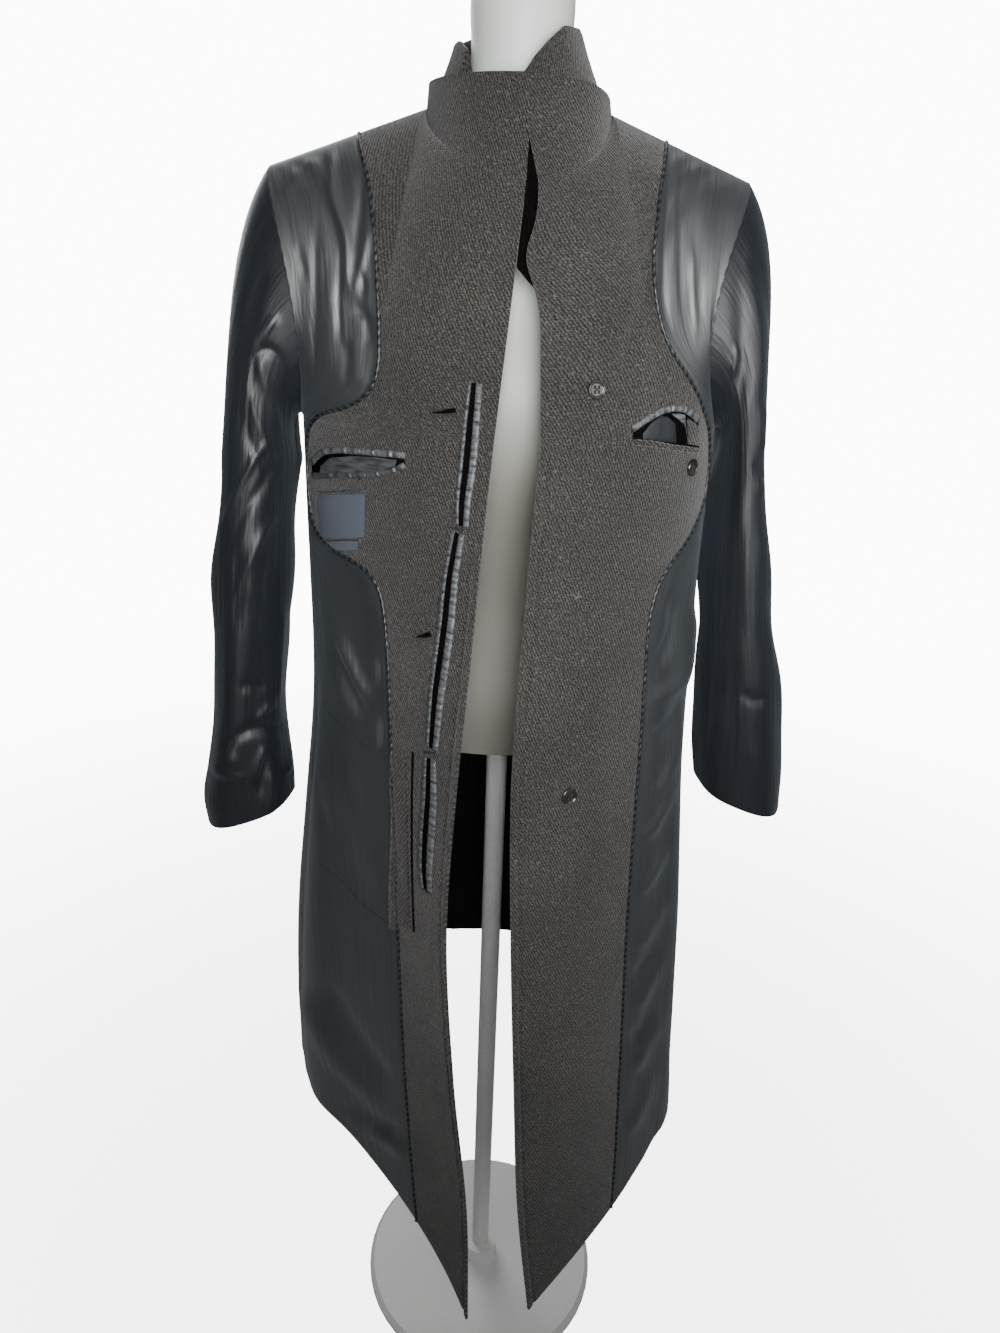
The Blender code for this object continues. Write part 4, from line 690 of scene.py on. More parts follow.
def facing_share(side, rows):
    """Share of each row that is wool facing: where the row is as far out as the facing's line."""
    line = spread(FACING_LINES[side], 620, soft=9)
    x = np.interp(rows, line[:, 0], line[:, 1])
    cells = 160
    samples = np.broadcast_to(np.linspace(0, 1, cells + 1), (len(rows), cells + 1))
    run = side * front_sheet(side, rows, samples)[..., 0]
    last = run.argmax(axis=1)
    run = np.where(np.arange(cells + 1) > last[:, None], np.inf, run)
    cell = np.clip((x[:, None] >= run).sum(1) - 1, 0, cells - 1)
    here = np.arange(len(rows))
    low, high = run[here, cell], run[here, cell + 1]
    return (cell + np.where(np.isfinite(high), (x - low) / (high - low), 0)) / cells


def front_cloth(side, rows, share):
    """Front half with all its folds and creases: the smooth sheet moved along its own directions."""
    points = front_sheet(side, rows, share)
    normals = directions(front_sheet, side, rows, share, points)
    lining = ease((share - facing_share(side, rows)[:, None]) / 0.06)
    armhole = ease((1 - share) / 0.10)
    relief = fold_ridges(side, rows, share)
    x, z = side * points[..., 0], points[..., 2]
    relief += crease_relief(FRONT_CREASES, points) * armhole
    relief += ripple(x - points[..., 1], z, FRONT_RIPPLE, 5 + side) * lining * armhole
    top = ease((SHOULDER_ROW - rows) / 0.02)[:, None]
    return points + normals * (relief * top)[..., None], normals


def back_cloth(side, rows, share):
    """Back half with its folds; the turn at underarm height is rounded by a mean over rows up to 2 cm off."""
    points = back_sheet(side, rows, share)
    steps = ((-0.02, 1 / 9), (-0.01, 2 / 9), (0.0, 3 / 9), (0.01, 2 / 9), (0.02, 1 / 9))
    mean = sum(weight * back_sheet(side, np.minimum(rows + step, rows[-1]), share) for step, weight in steps)
    near = np.exp(-((rows - UNDERARM_Z) / 0.022) ** 4)[:, None] * ease(share / 0.12)
    points = points + (mean - points) * near[..., None]
    normals = directions(back_sheet, side, rows, share, points)
    relief = fold_ridges(side, rows, 1 + share)
    seam = ease(share / 0.10) * ease((1 - share) / 0.06)
    relief += ripple(side * points[..., 0], points[..., 2], BACK_RIPPLE, 15 + side) * seam
    top = ease((SHOULDER_ROW - rows) / 0.02)[:, None]
    return points + normals * (relief * top)[..., None], normals


def yoke_rows(count):
    """Rows from the underarm to the shoulder seam, closer towards the seam."""
    return UNDERARM_Z + (SHOULDER_ROW - UNDERARM_Z) * np.sin(np.linspace(0, math.pi / 2, count))


def panel_rows():
    """Heights of a front's rows: closer where the facing's line turns and under the shoulder seam."""
    low = np.arange(HEM_ROW, UNDERARM_Z, FRONT_STEP)
    turns = np.concatenate([np.arange(1.09, 1.18, TURN_STEP), np.arange(1.235, 1.345, TURN_STEP)])
    rows = np.sort(np.concatenate([low, turns, yoke_rows(64)]))
    keep = np.append(True, np.diff(rows) > 0.0009)
    keep[-1] = True
    return rows[keep]


def solve_place(side, target, seen, rows, share):
    """Rows and shares of a front where seen(points) is the target: Newton steps on the smooth sheet."""
    step = 0.001
    for _ in range(9):
        here, right, above = (
            np.stack(seen(front_sheet(side, r, s[:, None])[:, 0]))
            for r, s in ((rows, share), (rows, share + step), (rows + step, share))
        )
        over = here - target
        a, c = (right - here) / step
        b, d = (above - here) / step
        size = a * d - b * c
        share = np.clip(share - (d * over[0] - b * over[1]) / size, 0.0, 0.99)
        rows = np.clip(rows - (a * over[1] - c * over[0]) / size, HEM_ROW, PLACING_TOP)
    return rows, share


def place_on_front(side, x, z):
    """Rows and shares of a front at places (x, z)."""
    guess = np.clip(x / 0.26, 0.05, 0.95)
    return solve_place(side, np.stack([x, z]), lambda p: (side * p[:, 0], p[:, 2]), z.copy(), guess)


def photo_line(side, pixels):
    """Places (x, z) on a front under pixels of the photograph, from the nearest point of a coarse grid."""
    target = np.array(pixels, float).T
    rows, share = np.linspace(HEM_ROW, PLACING_TOP, 90), np.linspace(0, 0.99, 70)
    px, py = on_photo(front_sheet(side, rows, np.broadcast_to(share, (90, 70))).reshape(-1, 3))
    near = ((px - target[0][:, None]) ** 2 + (py - target[1][:, None]) ** 2).argmin(axis=1)
    rows, share = solve_place(side, target, on_photo, rows[near // 70], share[near % 70])
    points = front_sheet(side, rows, share[:, None])[:, 0]
    return np.stack([side * points[:, 0], points[:, 2]], axis=1)


def row_length(side, rows):
    """Length of each row of a front, from its edge to the side seam."""
    samples = np.broadcast_to(np.linspace(0, 1, 65), (len(rows), 65))
    return np.linalg.norm(np.diff(front_sheet(side, rows, samples), axis=1), axis=2).sum(axis=1)


def cloth_at(side, x, z, lift=0.0):
    """Points of the creased front at places (x, z), moved out by lift, and the ways out there."""
    x, z = np.broadcast_arrays(np.asarray(x, float), np.asarray(z, float))
    rows, share = place_on_front(side, x.ravel(), z.ravel())
    points, normals = front_cloth(side, rows, share[:, None])
    points = points[:, 0] + normals[:, 0] * np.broadcast_to(lift, x.shape).reshape(-1, 1)
    return points.reshape(x.shape + (3,)), normals[:, 0].reshape(x.shape + (3,))


# Mesh helpers


def grid_quads(rows, columns, around=False):
    """Four-cornered faces between the points of a grid; around joins the last column to the first."""
    number = np.arange(rows * columns).reshape(rows, columns)
    if around:
        number = np.concatenate([number, number[:, :1]], axis=1)
    corners = number[:-1, :-1], number[:-1, 1:], number[1:, 1:], number[1:, :-1]
    return np.stack(corners, axis=-1)


def ringed_faces(rings, sides):
    """Faces of a stack of closed rings, with flat caps over the first and the last."""
    order = np.arange(sides // 2 - 1)
    cap = np.stack([order, order + 1, sides - 2 - order, sides - 1 - order], axis=1)
    around = grid_quads(rings, sides, around=True).reshape(-1, 4)
    return np.concatenate([around, cap[:, ::-1], cap + (rings - 1) * sides])


def shell(outer, inner, kept=None, around=False):
    """Closed wall between two grids: front faces, back faces turned round, and a rim along free edges."""
    quads = grid_quads(*outer.shape[:2], around)
    quads = quads.reshape(-1, 4) if kept is None else quads[kept]
    sides = np.stack([quads, np.roll(quads, -1, axis=1)], axis=-1).reshape(-1, 2)
    _, first, uses = np.unique(np.sort(sides, axis=1), axis=0, return_index=True, return_counts=True)
    free = sides[first[uses == 1]]
    shift = outer.shape[0] * outer.shape[1]
    rim = np.stack([free[:, 1], free[:, 0], free[:, 0] + shift, free[:, 1] + shift], axis=1)
    faces = np.concatenate([quads, quads[:, ::-1] + shift, rim])
    kind = np.repeat([0, 1, 2], [len(quads), len(quads), len(rim)])
    points = np.concatenate([outer.reshape(-1, 3), inner.reshape(-1, 3)])
    used, place = np.unique(faces, return_inverse=True)
    return points[used], place.reshape(-1, 4), kind, used % shift


def volume(points, faces):
    """Volume inside a closed mesh of four-cornered faces, positive where they point out."""
    a, b, c, d = (points[faces[:, i]] for i in range(4))
    return float((a * (np.cross(b, c) + np.cross(c, d))).sum() / 6)


def add_piece(name, points, faces, finishes, kind=None, uv=None, sharp=None):
    """One object from whole arrays; kind picks the finish of each face, uv is one place per point."""
    if volume(points, faces) < 0:
        faces = faces[:, ::-1]
    mesh = bpy.data.meshes.new(name)
    mesh.from_pydata(points.tolist(), [], faces.tolist())
    for finish in finishes:
        mesh.materials.append(FINISHES[finish]())
    if kind is not None:
        mesh.polygons.foreach_set("material_index", np.minimum(kind, len(finishes) - 1).astype(np.int32))
    if uv is not None:
        layer = mesh.uv_layers.new(name="cloth")
        layer.data.foreach_set("uv", uv[faces.ravel()].astype(np.float32).ravel())
    mesh.shade_smooth()
    if sharp:
        mesh.set_sharp_from_angle(angle=math.radians(sharp))
    made = bpy.data.objects.new(name, mesh)
    bpy.context.scene.collection.objects.link(made)
    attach(made, "root")
    return made


def add_cloth(name, outer, wall, finishes, uv, kept=None, around=False, normals=None):
    """A cloth wall: the outer grid, and the same grid moved in along its own directions."""
    if normals is None:
        wide = np.concatenate([outer[:, -1:], outer, outer[:, :1]], axis=1) if around else outer
        across = np.gradient(wide, axis=1)
        across = across[:, 1:-1] if around else across
        normals = unit(np.cross(across, np.gradient(outer, axis=0)))
        middle = outer.reshape(-1, 3).mean(axis=0)
        way = (normals * (outer - middle) * (1, 1, 0)).sum()
        normals = normals * np.sign(way)
    points, faces, kind, origin = shell(outer, outer - normals * wall, kept, around)
    kind = np.where(kind == 1, 1, 0)
    return add_piece(name, points, faces, finishes, kind, uv.reshape(-1, 2)[origin], sharp=60)


def tube(name, path, radius, finish, sides=8, flat=1.0, up=None):
    """A round or flattened roll along a path: rings of radius at each point, closed to a small tip at both
    ends; flat is the height of the ring over its width, measured along up."""
    count = len(path)
    course = unit(np.gradient(path, axis=0))
    up = np.broadcast_to((0.0, -1.0, 0.0), path.shape) if up is None else up
    aside = unit(np.cross(course, up))
    up = unit(np.cross(aside, course))
    radius = np.broadcast_to(radius, count).copy()
    taper = np.ones(count)
    taper[0] = taper[-1] = 0.02
    angle = np.linspace(0, 2 * math.pi, sides, endpoint=False)
    ring = np.cos(angle)[None, :, None] * aside[:, None] + flat * np.sin(angle)[None, :, None] * up[:, None]
    points = path[:, None] + ring * (radius * taper)[:, None, None]
    run = path_run(path)
    uv = np.stack(np.broadcast_arrays((angle * radius.mean())[None], run[:, None]), axis=-1)
    faces = ringed_faces(count, sides)
    return add_piece(name, points.reshape(-1, 3), faces, [finish], uv=uv.reshape(-1, 2))


def band(name, side, line, width, height, finish, count=120, cells=8, shift=0.0, pucker=0.0, seed=1,
         lift=0.0004, swell=0.0, ticks=None, wedge=0.0):
    """A strip that lies on a facing along a line: rounded across, with puckers along it.

    Across it, at t from -1 to 1, it is height * (1 - t to the fourth) high; along it the height and the
    width vary by pucker with fixed phases.  swell widens its middle, as a slit that gapes; wedge thins it
    towards its start; ticks are the least and the greatest gap between the sharp nips across it.
    """
    course = spread(line, count)
    tangent = unit(np.gradient(course, axis=0))
    aside = vectors(-tangent[:, 1], tangent[:, 0])
    run = path_run(course)
    rng = np.random.default_rng(seed)
    wave = sum(
        np.sin(2 * math.pi * run / length + rng.uniform(0, 6)) * size
        for length, size in PUCKERS
    )
    ends = ease(np.minimum(run, run[-1] - run) / (0.6 * width + 0.0001))
    spindle = np.sin(math.pi * run / run[-1])
    half = 0.5 * width * (1 + pucker * 0.20 * wave) * (1 - swell + swell * spindle)
    half *= 1 - wedge * (1 - run / run[-1])
    t = np.linspace(-1, 1, cells + 1)
    offset = shift * (1 - swell + swell * spindle)
    place = course[:, None] + aside[:, None] * (offset[:, None] + half[:, None] * t)[..., None]
    low, normals = cloth_at(side, place[..., 0], place[..., 1])
    bulge = height * (0.25 + 0.75 * ends)[:, None] * (1 + pucker * wave)[:, None] * (1 - t ** 4)
    if ticks:
        nips = np.cumsum(rng.uniform(*ticks, int(run[-1] / ticks[0]) + 1))
        away = np.abs(run[:, None] - nips).min(axis=1)
        bulge *= (1 - 0.85 * np.exp(-(away / NIP_WIDTH) ** 2))[:, None]
    outer = low + normals * (lift + np.maximum(bulge, 0.0001))[..., None]
    inner = low + normals * (lift * 0.25)
    points, faces, _, origin = shell(outer, inner)
    uv = np.stack(np.broadcast_arrays(t * width / 2, run[:, None]), axis=-1).reshape(-1, 2)
    return add_piece(name, points, faces, [finish], uv=uv[origin])


def patch(name, side, lines, finish, lift=0.0004, puff=0.0, count=48, cells=16):
    """A piece of cloth between two lines on a facing, lift above it and puff higher towards its middle."""
    first, second = (spread(line, count, soft=3) for line in lines)
    t = np.linspace(0, 1, cells + 1)[None, :]
    place = first[:, None] * (1 - t[..., None]) + second[:, None] * t[..., None]
    low, normals = cloth_at(side, place[..., 0], place[..., 1])
    u = np.linspace(0, 1, count)[:, None]
    dome = puff * (16 * u * (1 - u) * t * (1 - t)) ** 0.3
    points, faces, _, origin = shell(low + normals * (lift + dome)[..., None], low + normals * 0.25 * lift)
    return add_piece(name, points, faces, [finish], uv=place.reshape(-1, 2)[origin], sharp=60)


def stitches(name, path, normals, gap, length, radius, finish):
    """A row of short threads along a path on the cloth, each a thin spindle half sunk in it."""
    run = path_run(path)
    count, sides, rings = int(run[-1] / gap), 6, 5
    t = np.linspace(-0.5, 0.5, rings)
    at = ((np.arange(count) + 0.5) * gap)[:, None] + t * length
    centre, out, course = (
        np.stack([np.interp(at, run, each[:, i]) for i in range(3)], axis=-1)
        for each in (path, normals, unit(np.gradient(path, axis=0)))
    )
    out = unit(out)
    aside = unit(np.cross(course, out))
    angle = np.linspace(0, 2 * math.pi, sides, endpoint=False)[:, None]
    thin = radius * np.maximum(1 - (2 * t) ** 4, 0.04)[None, :, None, None]
    ring = np.cos(angle) * aside[:, :, None] + np.sin(angle) * out[:, :, None]
    points = centre[:, :, None] + ring * thin
    faces = ringed_faces(rings, sides) + (np.arange(count) * rings * sides)[:, None, None]
    uv = vectors(at[:, :, None] + 0 * angle[:, 0], radius * angle[:, 0] + 0 * at[:, :, None])
    return add_piece(name, points.reshape(-1, 3), faces.reshape(-1, 4), [finish], uv=uv.reshape(-1, 2))


def turned_button(name, centre, out, radius, height):
    """A sewn button: raised rim, dished face with four holes, rounded edge and flat back.

    The face is height * (0.66 + 0.34 exp(-((r - 0.84) / 0.11) squared)), less a pit at each hole.
    """
    first = unit(np.cross(out, (0.0, 0.0, 1.0)))
    second = np.cross(out, first)
    turn = np.linspace(math.pi / 2, -math.pi / 2, 10)[1:-1]
    face = np.linspace(0.02, 0.94, 30)
    r = np.concatenate([face, 0.94 + 0.06 * np.cos(turn), [0.90, 0.5, 0.02]])
    rim = 0.66 + 0.34 * np.exp(-((face - 0.84) / 0.11) ** 2)
    h = np.concatenate([rim, 0.36 + 0.36 * np.sin(turn), [0.0, 0.0, 0.0]])
    angle = np.linspace(0, 2 * math.pi, 56, endpoint=False)
    across, through = r[:, None] * np.cos(angle), r[:, None] * np.sin(angle)
    hole = np.hypot(np.abs(across) - 0.24, np.abs(through) - 0.24)
    pit = 0.5 * np.exp(-(hole / 0.11) ** 4) * (np.arange(len(r)) < len(face))[:, None]
    points = centre + radius * (across[..., None] * first + through[..., None] * second)
    points = points + (height * (h[:, None] - pit))[..., None] * out
    faces = ringed_faces(len(r), len(angle))
    uv = radius * vectors(across.ravel(), through.ravel())
    return add_piece(name, points.reshape(-1, 3), faces, ["button"], uv=uv, sharp=50)


# Materials

# Period of Blender's wave texture at scale 1, in metres
WAVE_PERIOD = 0.314


def finish_base(name, colour, rough):
    """An empty finish with its tree and its shader, constants set on the shader itself."""
    made = bpy.data.materials.new(name)
    made.use_nodes = True
    tree = made.node_tree
    shader = tree.nodes["Principled BSDF"]
    shader.inputs["Base Color"].default_value = (*colour, 1.0)
    shader.inputs["Roughness"].default_value = rough
    return made, tree, shader


def add_node(tree, kind, values=(), links=(), **settings):
    """A node with its settings, its input values and the sockets that feed its inputs."""
    node = tree.nodes.new(kind)
    for key, value in settings.items():
        setattr(node, key, value)
    for key, value in dict(values).items():
        node.inputs[key].default_value = value
    for key, socket in dict(links).items():
        tree.links.new(socket, node.inputs[key])
    return node


def ramp(tree, factor, stops):
    """A colour ramp through stops of (place, colour)."""
    node = add_node(tree, "ShaderNodeValToRGB", links={"Fac": factor})
    while len(node.color_ramp.elements) < len(stops):
        node.color_ramp.elements.new(0.5)
    for element, (place, colour) in zip(node.color_ramp.elements, stops):
        element.position = place
        element.color = (*colour, 1.0)
    return node.outputs["Color"]


def mixed(tree, factor, first, second, blend="MIX"):
    """Two colours mixed by a factor, each a socket or a colour."""
    node = add_node(tree, "ShaderNodeMix", data_type="RGBA", blend_type=blend)
    for key, value in ((0, factor), (6, first), (7, second)):
        if isinstance(value, bpy.types.NodeSocket):
            tree.links.new(value, node.inputs[key])
        elif key == 0:
            node.inputs[key].default_value = value
        else:
            node.inputs[key].default_value = (*value, 1.0)
    return node.outputs[2]


def scaled_uv(tree, scale, turn=0.0, source="UV"):
    """The cloth's own places, scaled and turned."""
    place = add_node(tree, "ShaderNodeTexCoord")
    node = add_node(tree, "ShaderNodeMapping", {"Scale": scale, "Rotation": (0, 0, turn)},
                    {"Vector": place.outputs[source]})
    return node.outputs["Vector"]


def toned(colour, amount):
    """A colour made darker or paler."""
    return tuple(amount * c for c in colour)


def add_noise(tree, vector, scale=1.0, detail=2.0, roughness=0.5):
    """A noise over places: from 0 to 1, mostly near its middle."""
    values = {"Scale": scale, "Detail": detail, "Roughness": roughness}
    return add_node(tree, "ShaderNodeTexNoise", values, {"Vector": vector}).outputs["Fac"]


def add_bands(tree, vector, period, way, distortion, more):
    """Soft bands across places, one each period along way; more holds the values of their detail."""
    values = {"Scale": WAVE_PERIOD / period, "Distortion": distortion, **more}
    node = add_node(tree, "ShaderNodeTexWave", values, {"Vector": vector},
                    wave_type="BANDS", bands_direction=way)
    return node.outputs["Fac"]


def add_relief(tree, shader, height, strength, distance):
    """Bumps on the shader from a height."""
    bump = add_node(tree, "ShaderNodeBump", {"Strength": strength, "Distance": distance}, {"Height": height})
    tree.links.new(bump.outputs["Normal"], shader.inputs["Normal"])


def speckled(name, colour, rough, scale, stops, detail=2.0, source="UV"):
    """A finish whose colour wanders between two stops by a noise, and that noise."""
    made, tree, shader = finish_base(name, colour, rough)
    factor = add_noise(tree, scaled_uv(tree, scale, source=source), detail=detail)
    tree.links.new(ramp(tree, factor, stops), shader.inputs["Base Color"])
    return made, tree, shader, factor


def ribbed(name, colour, rough, turn, bands, stops, relief):
    """A finish with bands in its colour and its relief.

    bands holds their period, way, distortion and detail; relief holds its strength and its depth.
    """
    made, tree, shader = finish_base(name, colour, rough)
    period, way, distortion, detail = bands
    places = scaled_uv(tree, (1, 1, 1), turn)
    factor = add_bands(tree, places, period, way, distortion, {"Detail": detail})
    tree.links.new(ramp(tree, factor, stops), shader.inputs["Base Color"])
    add_relief(tree, shader, factor, *relief)
    return made, shader


def once(maker):
    """Makes a finish the first time it is asked for and returns the same one after that."""
    kept = {}

    def finish():
        if "made" not in kept:
            kept["made"] = maker()
        return kept["made"]

    return finish


@once
def wool_finish():
    """Grey-brown wool twill: diagonal ribs broken by the yarn, pale flecks and a soft nap."""
    cloth = bpy.context.scene.coat_cloth
    dark, pale = tuple(cloth.wool_dark), tuple(cloth.wool_pale)
    made, tree, shader = finish_base("wool_twill", dark, 0.92)
    turned = scaled_uv(tree, (1, 1, 1), math.radians(cloth.twill_turn))
    detail = {"Detail": 2.0, "Detail Scale": 2.2, "Detail Roughness": 0.6}
    wave = add_bands(tree, turned, cloth.twill_rib, "X", 3.6, detail)
    flat = scaled_uv(tree, (1, 1, 1))
    yarn = add_noise(tree, flat, 620.0, 2.0, 0.7)
    fleck = add_noise(tree, flat, 300.0, 1.0)
    cloud = add_noise(tree, flat, 9.0, 3.0)
    ribs = ramp(tree, wave, ((0.25, dark), (0.80, pale)))
    grain = ramp(tree, yarn, ((0.36, (0.18, 0.18, 0.18)), (0.66, (1.95, 1.91, 1.87))))
    ribs = mixed(tree, 1.0, ribs, grain, "MULTIPLY")
    spots = ramp(tree, fleck, ((0.60, (0, 0, 0)), (0.78, (1, 1, 1))))
    ribs = mixed(tree, spots, ribs, tuple(cloth.wool_fleck))
    worn = ramp(tree, cloud, ((0.3, (0.80, 0.80, 0.82)), (0.7, (1.15, 1.12, 1.10))))
    tree.links.new(mixed(tree, 1.0, ribs, worn, "MULTIPLY"), shader.inputs["Base Color"])
    height = add_node(tree, "ShaderNodeMath", links={0: wave, 1: yarn}, operation="ADD")
    add_relief(tree, shader, height.outputs[0], 0.7, 0.0006)
    shader.inputs["Sheen Weight"].default_value = 0.25
    shader.inputs["Sheen Roughness"].default_value = 0.5
    shader.inputs["Specular IOR Level"].default_value = 0.2
    return made


@once
def shaded_wool_back_finish():
    """The coat's own outside, which hangs inwards: the same wool darkened as painted shade, with its ribs and
    no flecks.
    """
    cloth = bpy.context.scene.coat_cloth
    colour, turn = tuple(cloth.wool_back_shaded), math.radians(-cloth.twill_turn)
    stops = ((0.2, toned(colour, 0.7)), (0.8, toned(colour, 1.3)))
    bands = (cloth.twill_rib, "X", 2.0, 1.0)
    made, shader = ribbed("wool_inside_shaded", colour, 0.95, turn, bands, stops, (0.4, 0.0004))
    shader.inputs["Specular IOR Level"].default_value = 0.2
    return made


def hanging_satin(name, colour, rough, gloss):
    """Lining satin: fine hanging wrinkles, a weave across them and slow changes of tone."""
    made, tree, shader = finish_base(name, colour, rough)
    weave = add_noise(tree, scaled_uv(tree, (2600.0, 300.0, 1.0)), detail=1.0)
    cloud = add_noise(tree, scaled_uv(tree, (26.0, 3.0, 1.0)), detail=3.0)
    wrinkle = add_noise(tree, scaled_uv(tree, (115.0, 9.0, 1.0)), detail=3.0, roughness=0.55)
    stops = ((0.35, toned(colour, 0.8)), (0.65, toned(colour, 1.25)))
    tree.links.new(ramp(tree, cloud, stops), shader.inputs["Base Color"])
    dull = add_node(tree, "ShaderNodeMapRange", {
        "From Min": 0.3, "From Max": 0.7, "To Min": rough - 0.04, "To Max": rough + 0.05}, {"Value": cloud})
    tree.links.new(dull.outputs["Result"], shader.inputs["Roughness"])
    hanging = add_node(tree, "ShaderNodeBump", {"Strength": 0.55, "Distance": 0.0022}, {"Height": wrinkle})
    bump = add_node(tree, "ShaderNodeBump", {"Strength": 0.12, "Distance": 0.0002},
                    {"Height": weave, "Normal": hanging.outputs["Normal"]})
    tree.links.new(bump.outputs["Normal"], shader.inputs["Normal"])
    shader.inputs["Specular IOR Level"].default_value = gloss
    shader.inputs["Sheen Weight"].default_value = 0.10
    shader.inputs["Sheen Tint"].default_value = (0.75, 0.88, 1.0, 1.0)
    return made


@once
def satin_finish():
    """The satin of the fronts and of the back."""
    cloth = bpy.context.scene.coat_cloth
    return hanging_satin("lining_satin", tuple(cloth.satin), cloth.satin_roughness, cloth.satin_gloss)


@once
def sleeve_satin_shaded_finish():
    """The bluer satin of the sleeves, darker as painted shade."""
    cloth = bpy.context.scene.coat_cloth
    tint, gloss = tuple(cloth.sleeve_satin_shaded), cloth.sleeve_gloss
    return hanging_satin("sleeve_satin_shaded", tint, cloth.sleeve_roughness, gloss)


def pleat_lit_trim_finish(name, dark, pale):
    """Puckered satin of lips and welts: light and dark pleats across it between two colours, a painted
    highlight on the pleats and painted shade between them.
    """
    stops = ((0.36, dark), (0.62, pale))
    # The same noise paints the pleats' highlight and shade into the colour and gives their relief
    made, tree, shader, pleats = speckled(name, dark, 0.42, (70.0, 260.0, 1.0), stops)
    add_relief(tree, shader, pleats, 0.35, 0.0005)
    shader.inputs["Specular IOR Level"].default_value = 0.6
    return made


@once
def satin_trim_lit_finish():
    """The blue-grey satin of the fly's outer lips and the upper welts, the lit copy of the trim satin."""
    cloth = bpy.context.scene.coat_cloth
    return pleat_lit_trim_finish("trim_satin_lit", tuple(cloth.trim_pleat_shade), tuple(cloth.trim_pleat_highlight))


@once
def satin_trim_shaded_finish():
    """The trim satin darkened as painted shade, for the welts and the fly's other lips."""
    cloth = bpy.context.scene.coat_cloth
    return pleat_lit_trim_finish("trim_satin_shaded", toned(cloth.trim_pleat_shade, 0.75), toned(cloth.trim_pleat_highlight, 0.6))


@once
def piping_finish():
    """Dark satin piping with fine slanting pleats, paler on them and darker between them as painted highlight
    and painted shade.
    """
    stops = ((0.3, (0.006, 0.007, 0.008)), (0.75, (0.040, 0.045, 0.048)))
    bands = (0.0065, "Y", 1.5, 2.0)
    colour, turn = (0.016, 0.018, 0.020), math.radians(35)
    return ribbed("piping_satin", colour, 0.34, turn, bands, stops, (0.5, 0.0006))[0]


@once
def slit_shade_finish():
    """Painted shade: near-black colour laid where the inside of a slit or pocket is in shade."""
    stops = ((0.3, (0.002, 0.002, 0.002)), (0.7, (0.006, 0.005, 0.005)))
    made, _, shader, _ = speckled("slit_painted_shade", (0.003, 0.003, 0.003), 1.0, (400.0, 400.0, 1.0), stops)
    shader.inputs["Specular IOR Level"].default_value = 0.0
    return made


@once
def label_finish():
    """Woven navy label: fine ribs across it."""
    colour = tuple(bpy.context.scene.coat_cloth.label)
    stops = ((0.2, toned(colour, 0.7)), (0.8, toned(colour, 1.35)))
    return ribbed("label_cloth", colour, 0.6, 0.0, (0.0008, "Y", 0.6, 2.0), stops, (0.4, 0.0002))[0]


@once
def thread_finish():
    """Dark sewing thread."""
    stops = ((0.3, (0.006, 0.006, 0.007)), (0.7, (0.020, 0.020, 0.022)))
    return speckled("thread", (0.010, 0.010, 0.011), 0.7, (900.0, 900.0, 1.0), stops)[0]


@once
def pale_thread_finish():
    """Grey ends of thread."""
    stops = ((0.3, (0.06, 0.06, 0.06)), (0.7, (0.14, 0.14, 0.135)))
    return speckled("pale_thread", (0.10, 0.10, 0.10), 0.8, (900.0, 900.0, 1.0), stops)[0]


@once
def button_finish():
    """Dark polished button with faint brown clouds."""
    stops = ((0.35, (0.010, 0.009, 0.009)), (0.70, (0.045, 0.034, 0.028)))
    made, _, shader, _ = speckled("button_horn", (0.020, 0.016, 0.015), 0.16, (90.0, 90.0, 90.0), stops,
                                  detail=3.0, source="Object")
    shader.inputs["Coat Weight"].default_value = 0.5
    shader.inputs["Coat Roughness"].default_value = 0.08
    return made


@once
def form_finish():
    """Smooth shell of the dress form, pale above and a warmer grey below that is darkened as painted shade
    under the coat, with faint clouds in it.
    """
    made, tree, shader = finish_base("form_shell", (0.74, 0.77, 0.74), 0.42)
    patches = add_noise(tree, scaled_uv(tree, (14.0, 14.0, 9.0), source="Object"), detail=4.0)
    clouds = ramp(tree, patches, ((0.35, (0.88, 0.90, 0.88)), (0.65, (1.0, 1.0, 1.0))))
    level = add_node(tree, "ShaderNodeSeparateXYZ", links={
        "Vector": scaled_uv(tree, (1, 1, 1), source="Object")})
    # Painted shade: the colour darkens from 1.50 m down to 1.15 m, where the coat hangs over the form
    down = add_node(tree, "ShaderNodeMapRange", {"From Min": 1.15, "From Max": 1.50},
                    {"Value": level.outputs["Z"]}, interpolation_type="SMOOTHSTEP")
    tone = ramp(tree, down.outputs["Result"], ((0.0, (0.19, 0.18, 0.155)), (1.0, (0.80, 0.83, 0.79))))
    tree.links.new(mixed(tree, 1.0, tone, clouds, "MULTIPLY"), shader.inputs["Base Color"])
    add_relief(tree, shader, patches, 0.15, 0.001)
    return made


@once
def stand_finish():
    """Pale satin paint on the pole and the base, a little orange-peel in its gloss."""
    stops = ((0.3, (0.66, 0.67, 0.65)), (0.7, (0.74, 0.75, 0.73)))
    made, tree, shader, peel = speckled("stand_paint", (0.70, 0.71, 0.69), 0.35, (400.0, 400.0, 400.0), stops,
                                        source="Object")
    add_relief(tree, shader, peel, 0.1, 0.0002)
    return made


FINISHES = {
    "wool": wool_finish,
    "wool_back_shaded": shaded_wool_back_finish,
    "satin": satin_finish,
    "sleeve_satin_shaded": sleeve_satin_shaded_finish,
    "satin_trim": satin_trim_lit_finish,
    "satin_trim_shaded": satin_trim_shaded_finish,
    # the painted shade of slits, pocket mouths and the gap behind the lapels
    "piping": piping_finish,
    "gap": slit_shade_finish,
    "label": label_finish,
    "thread": thread_finish,
    "pale_thread": pale_thread_finish,
    "button": button_finish,
    "form": form_finish,
    "stand": stand_finish,
}


# Pieces


